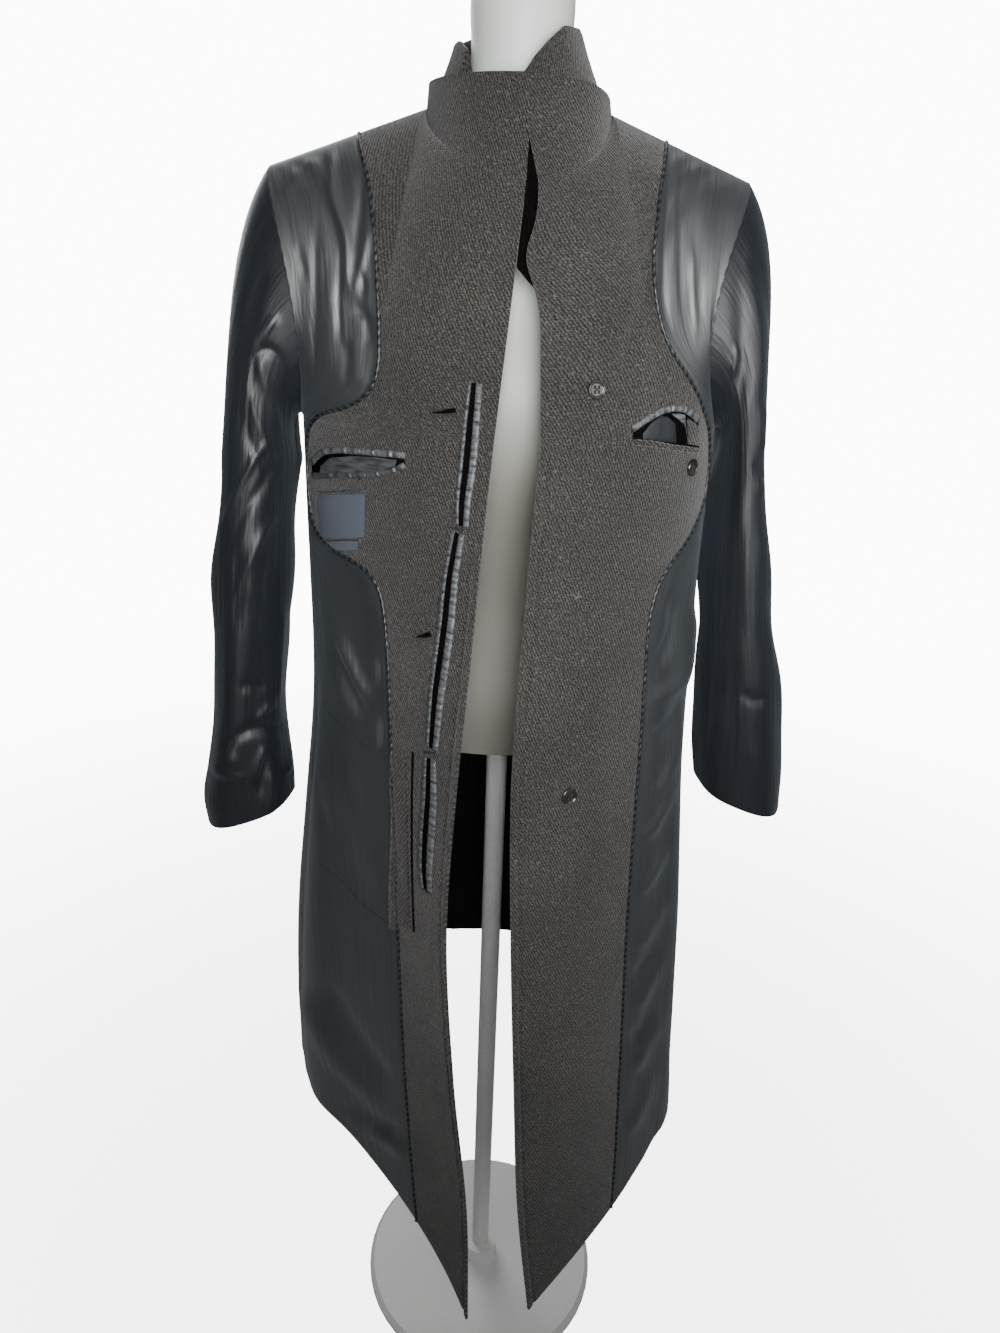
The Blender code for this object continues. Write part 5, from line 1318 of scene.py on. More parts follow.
def facing_grid(side):
    """Grid of a facing: rows up the front, and above the neck line the standing lapel on its first columns.

    A row's columns run from the front edge to the facing's line; above the lapel row they shift so that
    one of them meets the neck point.  The lapel goes from the neck ring up to its own smaller ring.
    """
    rows = panel_rows()
    edge = facing_share(side, rows)
    columns, top = 72, 37
    even = np.linspace(0, 1, columns) ** 1.3
    ring = np.linspace(0, NECK_COLUMN, top)
    last = np.append(ring, np.linspace(NECK_COLUMN, edge[-1], columns - top + 1)[1:])
    blend = np.clip((rows - LAPEL_ROW) / (rows[-1] - LAPEL_ROW), 0, 1)[:, None]
    share = edge[:, None] * (even * (1 - blend) + last / edge[-1] * blend)
    outer, normals = front_cloth(side, rows, share)
    run = share * row_length(side, rows)[:, None]
    height, half_width = EDGE_ROLL
    groove, depth, groove_width = EDGE_GROOVE
    roll = height * np.exp(-(run / half_width) ** 2) - depth * np.exp(-((run - groove) / groove_width) ** 2)
    outer = outer + normals * (roll * ease((SHOULDER_ROW - rows) / 0.03)[:, None])[..., None]
    uv = vectors(side * run, rows[:, None] + 0 * run)
    base = outer[-1, :top]
    x, y = front_neck(side, ring / NECK_COLUMN, LAPEL_TOP_REACH, LAPEL_TOP_HALF_WIDTH, LAPEL_EDGE_X[side])
    crest = vectors(x, y, LAPEL_TOP_Z - LAPEL_DROOP[side] * (ring / NECK_COLUMN) ** 3)
    levels = np.linspace(0, 1, 16)[1:]
    extra = np.repeat(outer[-1:], len(levels), axis=0)
    extra_uv = np.repeat(uv[-1:], len(levels), axis=0)
    level = levels[:, None, None]
    extra[:, :top] = base + (crest - base) * level
    extra_uv[:, :top, 1] += levels[:, None] * (crest - base)[:, 2]
    kept = np.ones((len(rows) + len(levels) - 1, columns - 1), bool)
    kept[len(rows) - 1:, top - 1:] = False
    return np.concatenate([outer, extra]), np.concatenate([uv, extra_uv]), kept


class COAT_OT_facings(bpy.types.Operator):
    """Make the wool facings with their standing lapels"""

    bl_idname = "coat.facings"
    bl_label = "Facings"

    def execute(self, context):
        wall = context.scene.coat_cloth.wool_wall
        for word, side in SIDES.items():
            outer, uv, kept = facing_grid(side)
            made = add_cloth(f"facing_{word}", outer, wall, ["wool", "wool_back_shaded"], uv, kept)
            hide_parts(f"facing_{word}_side")
            rows = np.arange(HEM_ROW + 0.004, EDGE_STITCH_TOP, 0.004)
            points, normals = front_cloth(side, rows, (EDGE_GROOVE[0] / row_length(side, rows))[:, None])
            path = points[:, 0] - normals[:, 0] * 0.0008
            stitches(f"edge_stitches_{word}", path, normals[:, 0], *EDGE_STITCH, "thread")
        return {"FINISHED"}


class COAT_OT_linings(bpy.types.Operator):
    """Make the satin linings of the fronts and of the back, and the wool underlap of the back vent"""

    bl_idname = "coat.linings"
    bl_label = "Linings"

    def execute(self, context):
        wall = context.scene.coat_cloth.satin_wall
        for word, side in SIDES.items():
            rows = panel_rows()
            edge = facing_share(side, rows)[:, None]
            share = edge + (1 - edge) * np.linspace(0, 1, 84)
            self.hang(f"front_lining_{word}", side, rows, front_cloth(side, rows, share)[0], wall)
            rows = np.append(np.arange(HEM_ROW, UNDERARM_Z, BACK_STEP), yoke_rows(60))
            share = np.broadcast_to(np.linspace(0, 1, 96), (len(rows), 96))
            self.hang(f"back_lining_{word}", side, rows, back_cloth(side, rows, share)[0], wall)
        for i, pixels in enumerate(POCKET_BAG_SEAMS):
            line = spread(photo_line(-1, pixels), 80, soft=5)
            path, normals = cloth_at(-1, line[:, 0], line[:, 1], 0.0002)
            stitches(f"pocket_bag_seam_{i}", path, normals, *BAG_STITCH, "thread")
        self.make_vent(context.scene.coat_cloth.wool_wall, wall)
        return {"FINISHED"}

    def hang(self, name, side, rows, outer, wall):
        """One lining panel, its weave laid out by the walked length of each row."""
        run = row_runs(outer)
        uv = vectors(side * run, rows[:, None] + 0 * run)
        made = add_cloth(name, outer, wall, ["satin", "wool_back_shaded"], uv)
        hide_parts(f"{name}_side")

    def make_vent(self, wall, lining):
        """The wool underlap of the vent, against the inside of the fly side's half of the back."""
        rows = np.arange(*VENT_ROWS, 0.008)
        share = np.broadcast_to(np.linspace(*VENT_SHARES, 14), (len(rows), 14))
        outer, normals = back_cloth(-1, rows, share)
        outer = outer - normals * (lining + CLEARANCE)
        uv = vectors(share * CUTS["back_lining_fly"][0], rows[:, None] + 0 * share)
        made = add_cloth("vent_underlap", outer, wall, ["wool_back_shaded"], uv, normals=normals)
        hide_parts("back_vent_underlap")


def armhole_loop(side, shares):
    """The sleeve's seam: up the front of the armhole to the shoulder tip and down its back."""
    span = SHOULDER_ROW - UNDERARM_Z
    up_front = UNDERARM_Z + span * np.clip(shares / 0.5, 0, 1)
    up_back = UNDERARM_Z + span * np.clip((1 - shares) / 0.5, 0, 1)
    on_front = front_sheet(side, up_front, np.ones((len(shares), 1)))[:, 0]
    on_back = back_sheet(side, up_back, np.zeros((len(shares), 1)))[:, 0]
    return np.where((shares <= 0.5)[:, None], on_front, on_back)


def sleeve_ring(side, rows, shares, tilt):
    """Rings of the sleeve: share 0 is against the body, 0.25 in front, 0.5 outside, 0.75 behind."""
    inner, outer, middle_y, half_depth = (smooth_column(SLEEVES[side], i, rows) for i in range(1, 5))
    angle = 2 * math.pi * shares
    x = side * ((inner + outer) / 2 - (outer - inner) / 2 * np.cos(angle))
    return vectors(x, middle_y - half_depth * np.sin(angle), rows + tilt * np.cos(angle))


def sleeve_sheet(side, levels, shares):
    """Sleeve surface: levels 0 to 1 go by a cubic from the armhole to a ring below it, 1 to 2 to the cuff."""
    table = SLEEVES[side]
    top_z, cuff_z = table[-1][0], table[0][0]
    loop = armhole_loop(side, shares)
    crown = np.clip((loop[:, 2] - UNDERARM_Z) / (SHOULDER_TIPS[side][2] - UNDERARM_Z), 0, 1)
    slope = UNDERARM_SLOPE + (CROWN_SLOPE - UNDERARM_SLOPE) * crown
    out = unit(vectors(side + 0 * crown, 0 * crown, -slope))
    ring = sleeve_ring(side, np.full(len(shares), top_z), shares, 0.0)
    reach = CAP_REACH * np.linalg.norm(ring - loop, axis=1)
    step = 0.004
    slope = (ring - sleeve_ring(side, np.full(len(shares), top_z - step), shares, 0.0)) / step
    corners = [loop, loop + out * reach[:, None], ring + slope * reach[:, None], ring]
    cap = bezier([c[None] for c in corners], np.clip(levels, 0, 1)[:, None] + 0 * shares)
    down = np.clip(levels - 1, 0, 1)[:, None] + 0 * shares
    arm = sleeve_ring(side, top_z + (cuff_z - top_z) * down, shares[None], CUFF_TILT * down ** 2)
    return np.where((levels <= 1)[:, None, None], cap, arm)


def sleeve_cloth(side, levels, shares):
    """Sleeve with its creases: the drawn ones where the camera sees it, and rings of slack round the elbow.

    The slack is a sum of slanted waves round the arm, 2 mm high at the elbow and fading to the armhole.
    """
    points = sleeve_sheet(side, levels, shares)
    wide = np.concatenate([points[:, -1:], points, points[:, :1]], axis=1)
    across = np.gradient(wide, axis=1)[:, 1:-1]
    normals = unit(np.cross(across, np.gradient(points, axis=0)))
    centre = points.mean(axis=1, keepdims=True)
    normals *= np.sign((normals * (points - centre)).sum())
    sight = unit(np.array(CAMERA_PLACE) - points)
    seen = ease(((normals * sight).sum(-1) - 0.02) / 0.3)
    turn = 2 * math.pi * shares[None]
    down = levels[:, None]
    slack = np.exp(-((down - 1.35) / 0.45) ** 2) * (1 - 0.8 * seen)
    rings = np.sin(11 * down + 1.0 * np.sin(turn) + side) + 0.6 * np.sin(19 * down - 2 * turn + 2)
    relief = SLACK_HEIGHT * slack * rings + 0.0012 * np.sin(5 * turn + 3 * np.sin(2.1 * down)) * ease(down)
    relief += crease_relief(SLEEVE_CREASES, points) * seen
    relief = relief * ease(down / 0.25)
    return points + normals * relief[..., None]


class COAT_OT_sleeves(bpy.types.Operator):
    """Make the two lining sleeves, each a tube from its armhole to its open cuff"""

    bl_idname = "coat.sleeves"
    bl_label = "Sleeves"

    def execute(self, context):
        wall = context.scene.coat_cloth.satin_wall
        for word, side in SIDES.items():
            shares = np.linspace(0, 1, SLEEVE_AROUND, endpoint=False)
            levels = np.append(np.linspace(0, 1, CAP_LEVELS) ** 1.2, 1 + np.linspace(0, 1, ARM_LEVELS)[1:])
            outer = sleeve_cloth(side, levels, shares)
            run = np.linalg.norm(np.diff(outer, axis=0), axis=2).mean(1).cumsum()
            around = shares[None] * CUTS[f"sleeve_{word}"][0]
            uv = vectors(around + 0 * levels[:, None], -np.append(0, run)[:, None])
            made = add_cloth(f"sleeve_{word}", outer, wall, ["sleeve_satin_shaded", "wool_back_shaded"], uv, around=True)
            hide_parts(f"top_sleeve_{word}_side", f"under_sleeve_{word}_side")
            loop = spread(armhole_loop(side, np.linspace(0, 1, 200)), 200, soft=9)
            wave = 1 + 0.18 * np.sin(np.linspace(0, 260, 200))
            away = unit(loop - loop.mean(axis=0))
            path = loop - away * ARMHOLE_SEAM_RADIUS / 2
            roll = tube(f"armhole_seam_{word}", path, ARMHOLE_SEAM_RADIUS * wave, "sleeve_satin_shaded", up=away)
        return {"FINISHED"}


def collar_line(angles):
    """Base and top edge of the standing collar at angles from the front, in radians."""
    half = np.abs(angles)
    degrees = np.degrees(half)
    fly = np.interp(degrees, [-angle for angle, _ in COLLAR_TOP], [z for _, z in COLLAR_TOP])
    button = np.interp(degrees, *zip(*COLLAR_TOP_BUTTON))
    top_z = np.where(angles < 0, fly, button)
    front = np.cos(half) > 0
    inside = np.interp(degrees, [80, 112], [COLLAR_INSIDE, 1.0])
    reach = np.where(front, COLLAR_BASE_FRONT, NECK_BACK_REACH)
    turn = np.clip((degrees - 90) / 90, 0, 1)
    lift = np.interp(degrees, *zip(*COLLAR_LIFT))
    base_z = NECK_FRONT_Z + (NECK_SIDE_Z - NECK_FRONT_Z) * np.clip(degrees / 90, 0, 1) ** 1.5
    base_z = base_z + (NECK_BACK_Z - NECK_SIDE_Z) * turn + lift
    base = vectors(NECK_HALF_WIDTH * inside * np.sin(angles), -reach * inside * np.cos(angles), base_z)
    top_reach = np.where(front, COLLAR_TOP_FRONT, COLLAR_TOP_BACK)
    top_x = COLLAR_TOP_SHIFT + COLLAR_TOP_HALF_WIDTH * np.sin(angles)
    return base, vectors(top_x, -top_reach * np.cos(angles), top_z)


class COAT_OT_collar(bpy.types.Operator):
    """Make the collar that is turned up round the neck"""

    bl_idname = "coat.collar"
    bl_label = "Collar"

    def execute(self, context):
        angles = np.radians(np.linspace(COLLAR_TOP[0][0], COLLAR_TOP_BUTTON[0][0] - 360, 200))
        wrapped = np.where(angles < -math.pi, angles + 2 * math.pi, angles)
        base, top = collar_line(wrapped)
        levels = np.linspace(0, 1, 22)[:, None, None]
        outer = base + (top - base) * levels
        run = path_run(outer[0])
        uv = vectors(run[None] + 0 * levels[..., 0], levels[..., 0] * 0.06)
        normals = unit(vectors(np.sin(wrapped), -np.cos(wrapped), 0.15 + 0 * wrapped))
        normals = np.broadcast_to(normals, outer.shape)
        wall = context.scene.coat_cloth.wool_wall
        made = add_cloth("collar_wool", outer, wall, ["wool"], uv, normals=normals)
        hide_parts("collar")
        self.shade_neck_gap(wall)
        return {"FINISHED"}

    def shade_neck_gap(self, wall):
        """A dark strip of painted shade behind the gap between the two lapels, from the chest to above the
        neck ring.
        """
        half_width, behind, below, above = NECK_GAP
        across = np.linspace(-1, 1, 15)[None, :]
        low = NECK_FRONT_Z - below - below / 2 * ease((across + 1) / 2)
        level = low + (NECK_FRONT_Z + above - low) * np.linspace(0, 1, 28)[:, None]
        share = (np.minimum(level, NECK_FRONT_Z) - UNDERARM_Z) / (NECK_FRONT_Z - UNDERARM_Z)
        rows = (UNDERARM_Z + (SHOULDER_ROW - UNDERARM_Z) * share).ravel()
        edges = [front_sheet(side, rows, np.zeros((rows.size, 1)))[:, 0] for side in (-1, 1)]
        middle = ((edges[0] + edges[1]) / 2).reshape(level.shape + (3,))
        past_neck = np.maximum(level - NECK_FRONT_Z, 0)[..., None]
        outer = middle + across[..., None] * (half_width, 0, 0) + (0, behind, 0) + past_neck * (0, 0.15, 1)
        uv = outer[..., [0, 2]]
        normals = np.broadcast_to((0.0, -1.0, 0.0), outer.shape)
        under = add_cloth("neck_gap_shade", outer, wall, ["gap"], uv, normals=normals)


def even_path(points, normals, gap):
    """A path taken again at even steps of its own length, with its outward directions."""
    run = path_run(points)
    at = np.linspace(0, run[-1], int(run[-1] / gap))
    both = np.concatenate([points, normals], axis=1)
    both = np.stack([np.interp(at, run, both[:, i]) for i in range(6)], axis=1)
    return both[:, :3], unit(both[:, 3:]), at


class COAT_OT_piping(bpy.types.Operator):
    """Make the satin piping along the edge of each facing"""

    bl_idname = "coat.piping"
    bl_label = "Piping"

    def execute(self, context):
        for word, side in SIDES.items():
            rows = panel_rows()
            points, normals = front_cloth(side, rows, facing_share(side, rows)[:, None])
            path, up, at = (each[:-4] for each in even_path(points[:, 0], normals[:, 0], PIPING_STEP))
            wave = 1 + sum(size * np.sin(2 * math.pi * at / length) for length, size in PIPING_PUCKERS)
            made = tube(f"facing_piping_{word}", path + up * 0.0006, PIPING_RADIUS * wave, "piping", up=up)
        return {"FINISHED"}


class COAT_OT_fly(bpy.types.Operator):
    """Make the satin lips of the hidden button fly with the painted shade in its gaps, its buttonholes and
    its bar tacks
    """

    bl_idname = "coat.fly"
    bl_label = "Fly"

    def execute(self, context):
        for i, (word, pixels) in enumerate(zip(("upper", "middle", "lower"), FLY_SLITS)):
            line = photo_line(-1, pixels)
            # A near-black strip of painted shade in each slit of the fly
            band(f"fly_gap_shade_{word}", -1, line, FLY_GAP_WIDTH, GAP_HEIGHT, "gap", swell=0.5)
            for end, way, width, shift, finish in FLY_LIPS:
                made = band(f"fly_lip_{word}_{end}", -1, line, width, LIP_HEIGHT, finish, count=240,
                            shift=way * shift, pucker=0.16, seed=20 + i * 2 + way, swell=0.25,
                            ticks=(0.006, 0.019))
                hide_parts(f"fly_piping_{word}_{end}")
        for i, pixels in enumerate(BUTTONHOLES):
            line = photo_line(-1, pixels)
            # The buttonhole's dark slit is painted shade
            band(f"buttonhole_{i}", -1, line, BUTTONHOLE_WIDTH, 0.0003, "gap", count=40, wedge=0.85)
            for way in (-1, 1):
                band(f"buttonhole_{i}_whip_{way + 1}", -1, line, 0.0011, 0.0006, "thread", count=60, cells=6,
                     shift=way * WHIP_SHIFT, pucker=0.3, seed=30 + i)
        for i, pixels in enumerate(BAR_TACKS):
            band(f"bar_tack_{i}", -1, photo_line(-1, pixels), 0.0022, 0.0012, "thread", count=40, cells=6,
                 pucker=0.3, seed=36 + i)
        return {"FINISHED"}


class COAT_OT_pockets(bpy.types.Operator):
    """Make the welts of the inner pockets with the painted shade of their mouths, and the strip of the side
    pocket
    """

    bl_idname = "coat.pockets"
    bl_label = "Pockets"

    def execute(self, context):
        pockets = (
            ("fly", -1, FLY_POCKET_UPPER, FLY_POCKET_LOWER, "satin_trim_shaded"),
            ("button", 1, BUTTON_POCKET_UPPER, BUTTON_POCKET_LOWER, "wool"),
        )
        for i, (word, side, upper, lower, low_finish) in enumerate(pockets):
            upper, lower = photo_line(side, upper), photo_line(side, lower)
            # The pocket's mouth is a dark patch of painted shade between its welts
            patch(f"{word}_pocket_mouth_shade", side, (upper, lower), "gap", lift=0.0003)
            welts = zip(("upper", "lower"), (upper, lower), WELT_WIDTHS, ("satin_trim", low_finish))
            for end, line, width, finish in welts:
                made = band(f"{word}_pocket_welt_{end}_cloth", side, line, width, WELT_HEIGHT, finish,
                            count=200, pucker=0.12, seed=40 + i, ticks=(0.009, 0.022))
                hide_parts(f"{word}_pocket_welt_{end}")
        bags = (
            ("fly_pocket_bag", -1, FLY_BAG, "satin_trim_shaded"),
            ("button_pocket_bag", 1, BUTTON_BAG, "sleeve_satin_shaded"),
            ("button_pocket_bag_edge", 1, BUTTON_BAG_EDGE, "satin_trim"),
            ("button_pocket_end", 1, BUTTON_POCKET_END, "wool"),
        )
        for name, side, lines, finish in bags:
            lines = [photo_line(side, line) for line in lines]
            patch(name, side, lines, finish, lift=0.0006, puff=0.0006)
        lines = [photo_line(-1, line) for line in SIDE_STRIP]
        made = patch("side_pocket_welt", -1, lines, "wool", lift=0.0008, puff=0.0012, count=90)
        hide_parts("side_pocket_strip")
        band("side_pocket_edge", -1, lines[0], 0.0016, 0.0022, "satin_trim_shaded", pucker=0.2, seed=51)
        # The side pocket's groove is a dark band of painted shade
        band("side_pocket_groove_shade", -1, photo_line(-1, SIDE_STRIP_GROOVE), 0.0020, 0.0003, "gap")
        return {"FINISHED"}


class COAT_OT_buttons(bpy.types.Operator):
    """Make the stay buttons, the pocket button and the front buttons on the other face, with their threads"""

    bl_idname = "coat.buttons"
    bl_label = "Buttons"

    def execute(self, context):
        wall = context.scene.coat_cloth.wool_wall
        stays = [place for place in BUTTON_PLACES if place[0] != "middle"]
        places = [(f"stay_button_{word}", x, z, 1, *STAY_BUTTON) for word, x, z in stays]
        places += [(f"front_button_{word}", x, z, -1, *FRONT_BUTTON) for word, x, z in BUTTON_PLACES]
        places.append(("pocket_button", *POCKET_BUTTON_PLACE, 1, *STAY_BUTTON))
        for node, x, z, way, radius, height in places:
            seat, out = cloth_at(1, [x], [z])
            out = out[0] * way
            centre = seat[0] + out * (CLEARANCE if way > 0 else wall + CLEARANCE)
            made = turned_button(f"{node}_turned", centre, out, radius, height)
            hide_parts(node)
            first = unit(np.cross(out, (0.0, 0.0, 1.0)))
            second = np.cross(out, first)
            for i, turn in enumerate((1, -1)):
                across = np.linspace(-BUTTON_THREAD_REACH, BUTTON_THREAD_REACH, 14)[:, None] * radius
                arch = np.cos(np.linspace(-1.5, 1.5, 14))[:, None] * 0.0006
                path = centre + across * (first + turn * second) + out * (height * 0.5 + arch)
                tube(f"{node}_thread_{i}", path, BUTTON_THREAD_RADIUS, "thread", sides=6, up=out)
        for i, pixels in enumerate(LOOSE_THREADS):
            line = photo_line(1, pixels)
            band(f"loose_thread_{i}", 1, line, 0.0009, 0.0008, "pale_thread", count=30, cells=6)
        return {"FINISHED"}


class COAT_OT_labels(bpy.types.Operator):
    """Make the bare woven label and the small one under it"""

    bl_idname = "coat.labels"
    bl_label = "Labels"

    def execute(self, context):
        for name, node, lines in LABELS:
            lines = [photo_line(-1, line) for line in lines]
            made = patch(name, -1, lines, "label", lift=0.0010, puff=0.0003, count=36)
            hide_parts(node)
        for i, pixels in enumerate(LABEL_FOLDS):
            line = photo_line(-1, pixels)
            band(f"label_fold_{i}", -1, line, 0.0012, 0.0009, "satin_trim_shaded", count=60, cells=6)
        return {"FINISHED"}


def form_tables():
    """Levels of the form, each with its reach left, right, to the front and back and its ring's power."""
    body = np.linspace(FORM_SECTIONS[0][0], FORM_SECTIONS[-1][0], 52)
    width, front, back = (smooth_column(FORM_SECTIONS, i, body) for i in (1, 2, 3))
    tables = [(body, width, width, front, back, 2.0 + 0 * body)]
    level = np.linspace(RIDGE_SECTIONS[0][0], RIDGE_SECTIONS[-1][0], 40)
    drop, depth, power = (smooth_column(RIDGE_SECTIONS, i, level) for i in (1, 2, 3))
    reach = []
    for side in (-1, 1):
        tip = SHOULDER_TIPS[side]
        slope = (NECK_SIDE_Z - tip[2]) / (tip[0] - NECK_HALF_WIDTH)
        reach.append(np.minimum(NECK_HALF_WIDTH + (NECK_SIDE_Z - level - drop) / slope, RIDGE_END))
    tables.append((level, *reach, depth, depth, power))
    neck = np.linspace(NECK_SECTIONS[0][0], NECK_SECTIONS[-1][0], 40)
    width, front, back = (smooth_column(NECK_SECTIONS, i, neck) for i in (1, 2, 3))
    tables.append((neck, width, width, front, back, 2.0 + 0 * neck))
    return (np.concatenate(column)[:, None] for column in zip(*tables))


def form_rings(angles):
    """Rings of the form from the roof of the pole's hole, out round the body and up to the crown.

    Each ring is a rounded oval: the sine and cosine of its angle, to the power 2 / power, times its reach.
    """
    z, left, right, front, back, power = form_tables()
    across = np.sign(np.sin(angles)) * np.abs(np.sin(angles)) ** (2 / power)
    through = np.sign(np.cos(angles)) * np.abs(np.cos(angles)) ** (2 / power)
    rings = vectors(
        np.where(across < 0, left, right) * across,
        -np.where(through > 0, front, back) * through,
        z + 0 * across,
    )
    turn = np.linspace(0, math.pi / 2, 8)[1:, None, None]
    crown = rings[-1] * (1, 1, 0) * (0.84 + 0.16 * np.cos(turn)) + (0, 0, 1) * (
        NECK_SECTIONS[-1][0] + (NECK_CAP_Z - NECK_SECTIONS[-1][0]) * np.sin(turn))
    close = crown[-1] * (0.02, 0.02, 1)
    hole = vectors(np.sin(angles), -np.cos(angles), 0 * angles) * (POLE_HOLE_RADIUS, POLE_HOLE_RADIUS, 0)
    hole += (0, 0, FORM_SECTIONS[0][0])
    roof = hole + (0, 0, POLE_HOLE_DEPTH)
    return np.concatenate([(roof * (0.02, 0.02, 1))[None], roof[None], hole[None], rings, crown, close[None]])


class COAT_OT_form(bpy.types.Operator):
    """Make the smooth shell of the dress form and paint the stand"""

    bl_idname = "coat.form"
    bl_label = "Form and stand"

    def execute(self, context):
        rings = form_rings(np.linspace(0, 2 * math.pi, FORM_SIDES, endpoint=False))
        faces = ringed_faces(len(rings), FORM_SIDES)
        made = add_piece("form", rings.reshape(-1, 3), faces, ["form"], sharp=50)
        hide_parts("form_torso")
        for name in ("stand_base", "stand_pole"):
            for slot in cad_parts[name].material_slots:
                slot.material = stand_finish()
        return {"FINISHED"}


def placed(right, up, back, place):
    """The matrix of a lamp or camera from its own three ways and its place."""
    return Matrix(np.column_stack([right, up, back, place]).tolist() + [[0, 0, 0, 1]])


class COAT_OT_stage(bpy.types.Operator):
    """Lay the pale floor, hang the lights and place the camera"""

    bl_idname = "coat.stage"
    bl_label = "Stage"

    def execute(self, context):
        scene, stage = context.scene, context.scene.coat_stage
        self.lay_floor(scene, stage)
        self.hang_lights(scene, stage)
        self.surround(scene, stage)
        self.place_camera(scene)
        return {"FINISHED"}

    def lay_floor(self, scene, stage):
        """A large plane, whitened for the camera from beside the coat out to its edges."""
        mesh = bpy.data.meshes.new("floor")
        mesh.from_pydata([(-9, -9, 0), (9, -9, 0), (9, 9, 0), (-9, 9, 0)], [], [(0, 1, 2, 3)])
        stops = ((0.3, toned(stage.floor, 0.98)), (0.7, tuple(stage.floor)))
        made, tree, shader, _ = speckled("floor_paint", tuple(stage.floor), 0.8, (0.8, 0.8, 0.8), stops,
                                         source="Object")
        away = add_node(tree, "ShaderNodeVectorMath", links={0: scaled_uv(tree, (1, 1, 1), source="Object")},
                        operation="LENGTH")
        far = add_node(tree, "ShaderNodeMapRange", {
            "From Min": 0.3, "From Max": 3.2, "To Min": stage.floor_glow, "To Max": 1.0},
            {"Value": away.outputs["Value"]}, interpolation_type="SMOOTHSTEP")
        path = add_node(tree, "ShaderNodeLightPath")
        share = add_node(tree, "ShaderNodeMath", links={
            0: far.outputs["Result"], 1: path.outputs["Is Camera Ray"]}, operation="MULTIPLY")
        white = add_node(tree, "ShaderNodeEmission", {"Strength": stage.backdrop})
        both = add_node(tree, "ShaderNodeMixShader", links={
            0: share.outputs[0], 1: shader.outputs[0], 2: white.outputs[0]})
        tree.links.new(both.outputs[0], tree.nodes["Material Output"].inputs["Surface"])
        mesh.materials.append(made)
        floor = bpy.data.objects.new("floor", mesh)
        scene.collection.objects.link(floor)

    def hang_lights(self, scene, stage):
        """Round lights that face the chest, each with its place, size, spread in degrees and power."""
        lights = (
            ("key", (0.15, -1.10, 1.46), 0.70, 112, stage.key),
            ("side", (1.2, -0.95, 1.50), 0.9, 130, stage.side),
            ("fill", (-1.1, -1.7, 1.9), 1.0, 180, stage.fill),
            ("top", (0.0, 0.8, 3.0), 1.8, 180, stage.top),
            ("back", (-0.9, 2.0, 1.9), 1.6, 180, stage.back),
        )
        for name, place, size, spread_angle, power in lights:
            light = bpy.data.lights.new(name, "AREA")
            light.shape = "DISK"
            light.size = size
            light.spread = math.radians(spread_angle)
            light.energy = power
            lamp = bpy.data.objects.new(name, light)
            way = unit(np.array((0.0, 0.0, UNDERARM_Z)) - np.array(place))
            side = unit(np.cross(way, (0.0, 0.0, 1.0)))
            lamp.matrix_world = placed(side, np.cross(side, way), -way, place)
            scene.collection.objects.link(lamp)

    def surround(self, scene, stage):
        """A dim light from all round that the camera sees as white."""
        world = bpy.data.worlds.new("studio")
        world.use_nodes = True
        tree = world.node_tree
        background = tree.nodes["Background"]
        background.inputs["Strength"].default_value = stage.world
        background.inputs["Color"].default_value = (0.96, 0.98, 1.0, 1.0)
        seen = add_node(tree, "ShaderNodeBackground", {"Color": (1, 1, 1, 1), "Strength": stage.backdrop})
        path = add_node(tree, "ShaderNodeLightPath")
        both = add_node(tree, "ShaderNodeMixShader", links={
            0: path.outputs["Is Camera Ray"], 1: background.outputs[0], 2: seen.outputs[0]})
        tree.links.new(both.outputs[0], tree.nodes["World Output"].inputs["Surface"])
        scene.world = world

    def place_camera(self, scene):
        """The photograph's view: 1 m in front of the middle, at shoulder height, tipped down and rolled."""
        right, up, forward = camera_axes()
        data = bpy.data.cameras.new("camera")
        data.sensor_fit = "VERTICAL"
        data.sensor_height = 36.0
        data.lens = 36.0 * FOCAL / FRAME[1]
        camera = bpy.data.objects.new("camera", data)
        camera.matrix_world = placed(right, up, -forward, CAMERA_PLACE)
        scene.collection.objects.link(camera)
        scene.camera = camera


def number(name, description, default, **more):
    """A number among the panel's settings."""
    return bpy.props.FloatProperty(name=name, description=description, default=default, **more)


def metres(name, description, default):
    """A length among the panel's settings."""
    return number(name, description, default, unit="LENGTH")


def watts(name, description, default):
    """The power of a light among the panel's settings."""
    return number(name, description, default, unit="POWER")


def colour(name, description, default):
    """A colour among the panel's settings."""
    return bpy.props.FloatVectorProperty(
        name=name, description=description, default=default, subtype="COLOR")


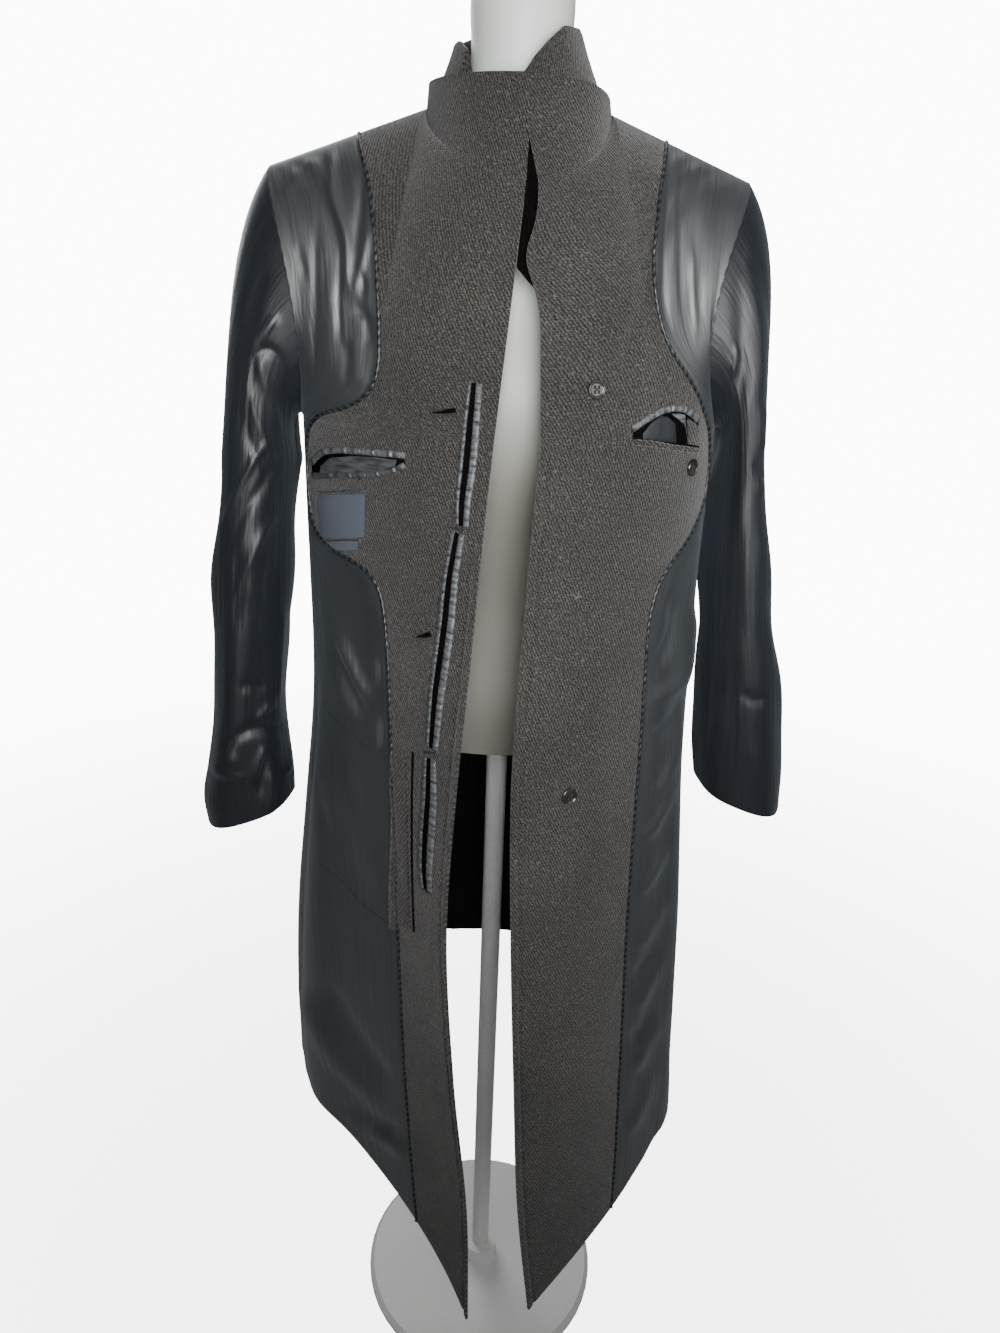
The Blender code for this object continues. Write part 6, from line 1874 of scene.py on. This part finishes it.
class CoatCloth(bpy.types.PropertyGroup):
    """Sizes and colours of the cloth"""

    wool_wall: metres("Wool wall", "Thickness of the facings and the collar", 0.003)
    satin_wall: metres("Lining wall", "Thickness of the lined panels", 0.002)
    twill_rib: metres("Twill rib", "Distance between two ribs of the twill", 0.0026)
    twill_turn: number("Twill slope", "Turn of the ribs from upright, in degrees", -27.0)
    wool_dark: colour("Wool, dark yarn", "Colour between the ribs", (0.0165, 0.0158, 0.0151))
    wool_pale: colour("Wool, pale yarn", "Colour of the ribs", (0.056, 0.0534, 0.0506))
    wool_fleck: colour("Wool flecks", "Colour of the pale flecks", (0.095, 0.091, 0.086))
    # Painted shade: the same wool as the facings, darker on the faces that turn inwards
    wool_back_shaded: colour(
        "Wool, other face", "Colour of the cloth's face that hangs inwards", (0.008, 0.0075, 0.0072))
    satin: colour("Lining satin", "Colour of the lining", (0.0095, 0.0118, 0.0138))
    satin_roughness: number("Lining roughness", "How dull the lining is", 0.50, min=0.0, max=1.0)
    satin_gloss: number("Lining gloss", "How strongly the lining shines", 1.6, min=0.0, max=2.0)
    # Painted shade: the sleeves' satin is darker than the lining, and also bluer
    sleeve_satin_shaded: colour("Sleeve satin", "Colour of the sleeves", (0.0070, 0.0086, 0.0115))
    sleeve_roughness: number("Sleeve roughness", "How dull the sleeves are", 0.44, min=0.0, max=1.0)
    sleeve_gloss: number("Sleeve gloss", "How strongly the sleeves shine", 0.55, min=0.0, max=2.0)
    # Painted shade between the pleats of the trim and painted highlight on them
    trim_pleat_shade: colour("Trim, dark pleat", "Colour in the pleats of the satin trim", (0.030, 0.032, 0.034))
    trim_pleat_highlight: colour("Trim, pale pleat", "Colour on the pleats of the satin trim", (0.135, 0.142, 0.150))
    label: colour("Label", "Colour of the bare label", (0.085, 0.099, 0.124))


class CoatStage(bpy.types.PropertyGroup):
    """Floor and light"""

    floor: colour("Floor", "Colour of the floor", (0.30, 0.30, 0.30))
    floor_glow: number("Floor glow", "How far the floor beside the coat is whitened for the camera", 0.42)
    key: watts("Key light", "Power of the light above the camera", 8.8)
    side: watts("Side light", "Power of the light at the front right", 3.6)
    fill: watts("Fill light", "Power of the light at the front left", 2.5)
    top: watts("Top light", "Power of the light overhead", 15.0)
    back: watts("Back light", "Power of the light behind", 34.0)
    world: number("Surrounding light", "Strength of the light from all round", 0.09)
    backdrop: number("Backdrop", "Brightness of the empty background", 12.0)


class COAT_PT_pieces(bpy.types.Panel):
    """Lists the pieces of the coat"""

    bl_label = "Overcoat"
    bl_idname = "COAT_PT_pieces"
    bl_space_type = "VIEW_3D"
    bl_region_type = "UI"
    bl_category = "Overcoat"

    def draw(self, context):
        for operator in OPERATORS:
            self.layout.operator(operator.bl_idname)
        for group in (context.scene.coat_cloth, context.scene.coat_stage):
            for name in group.__annotations__:
                self.layout.prop(group, name)


OPERATORS = (
    COAT_OT_stage,
    COAT_OT_form,
    COAT_OT_facings,
    COAT_OT_linings,
    COAT_OT_sleeves,
    COAT_OT_collar,
    COAT_OT_piping,
    COAT_OT_fly,
    COAT_OT_pockets,
    COAT_OT_buttons,
    COAT_OT_labels,
)
CLASSES = (CoatCloth, CoatStage, *OPERATORS, COAT_PT_pieces)


def register():
    for each in CLASSES:
        bpy.utils.register_class(each)
    bpy.types.Scene.coat_cloth = bpy.props.PointerProperty(type=CoatCloth)
    bpy.types.Scene.coat_stage = bpy.props.PointerProperty(type=CoatStage)


def unregister():
    del bpy.types.Scene.coat_stage
    del bpy.types.Scene.coat_cloth
    for each in reversed(CLASSES):
        bpy.utils.unregister_class(each)


def main():
    register()
    for operator in OPERATORS:
        group, name = operator.bl_idname.split(".")
        getattr(getattr(bpy.ops, group), name)()


if __name__ == "__main__":
    main()
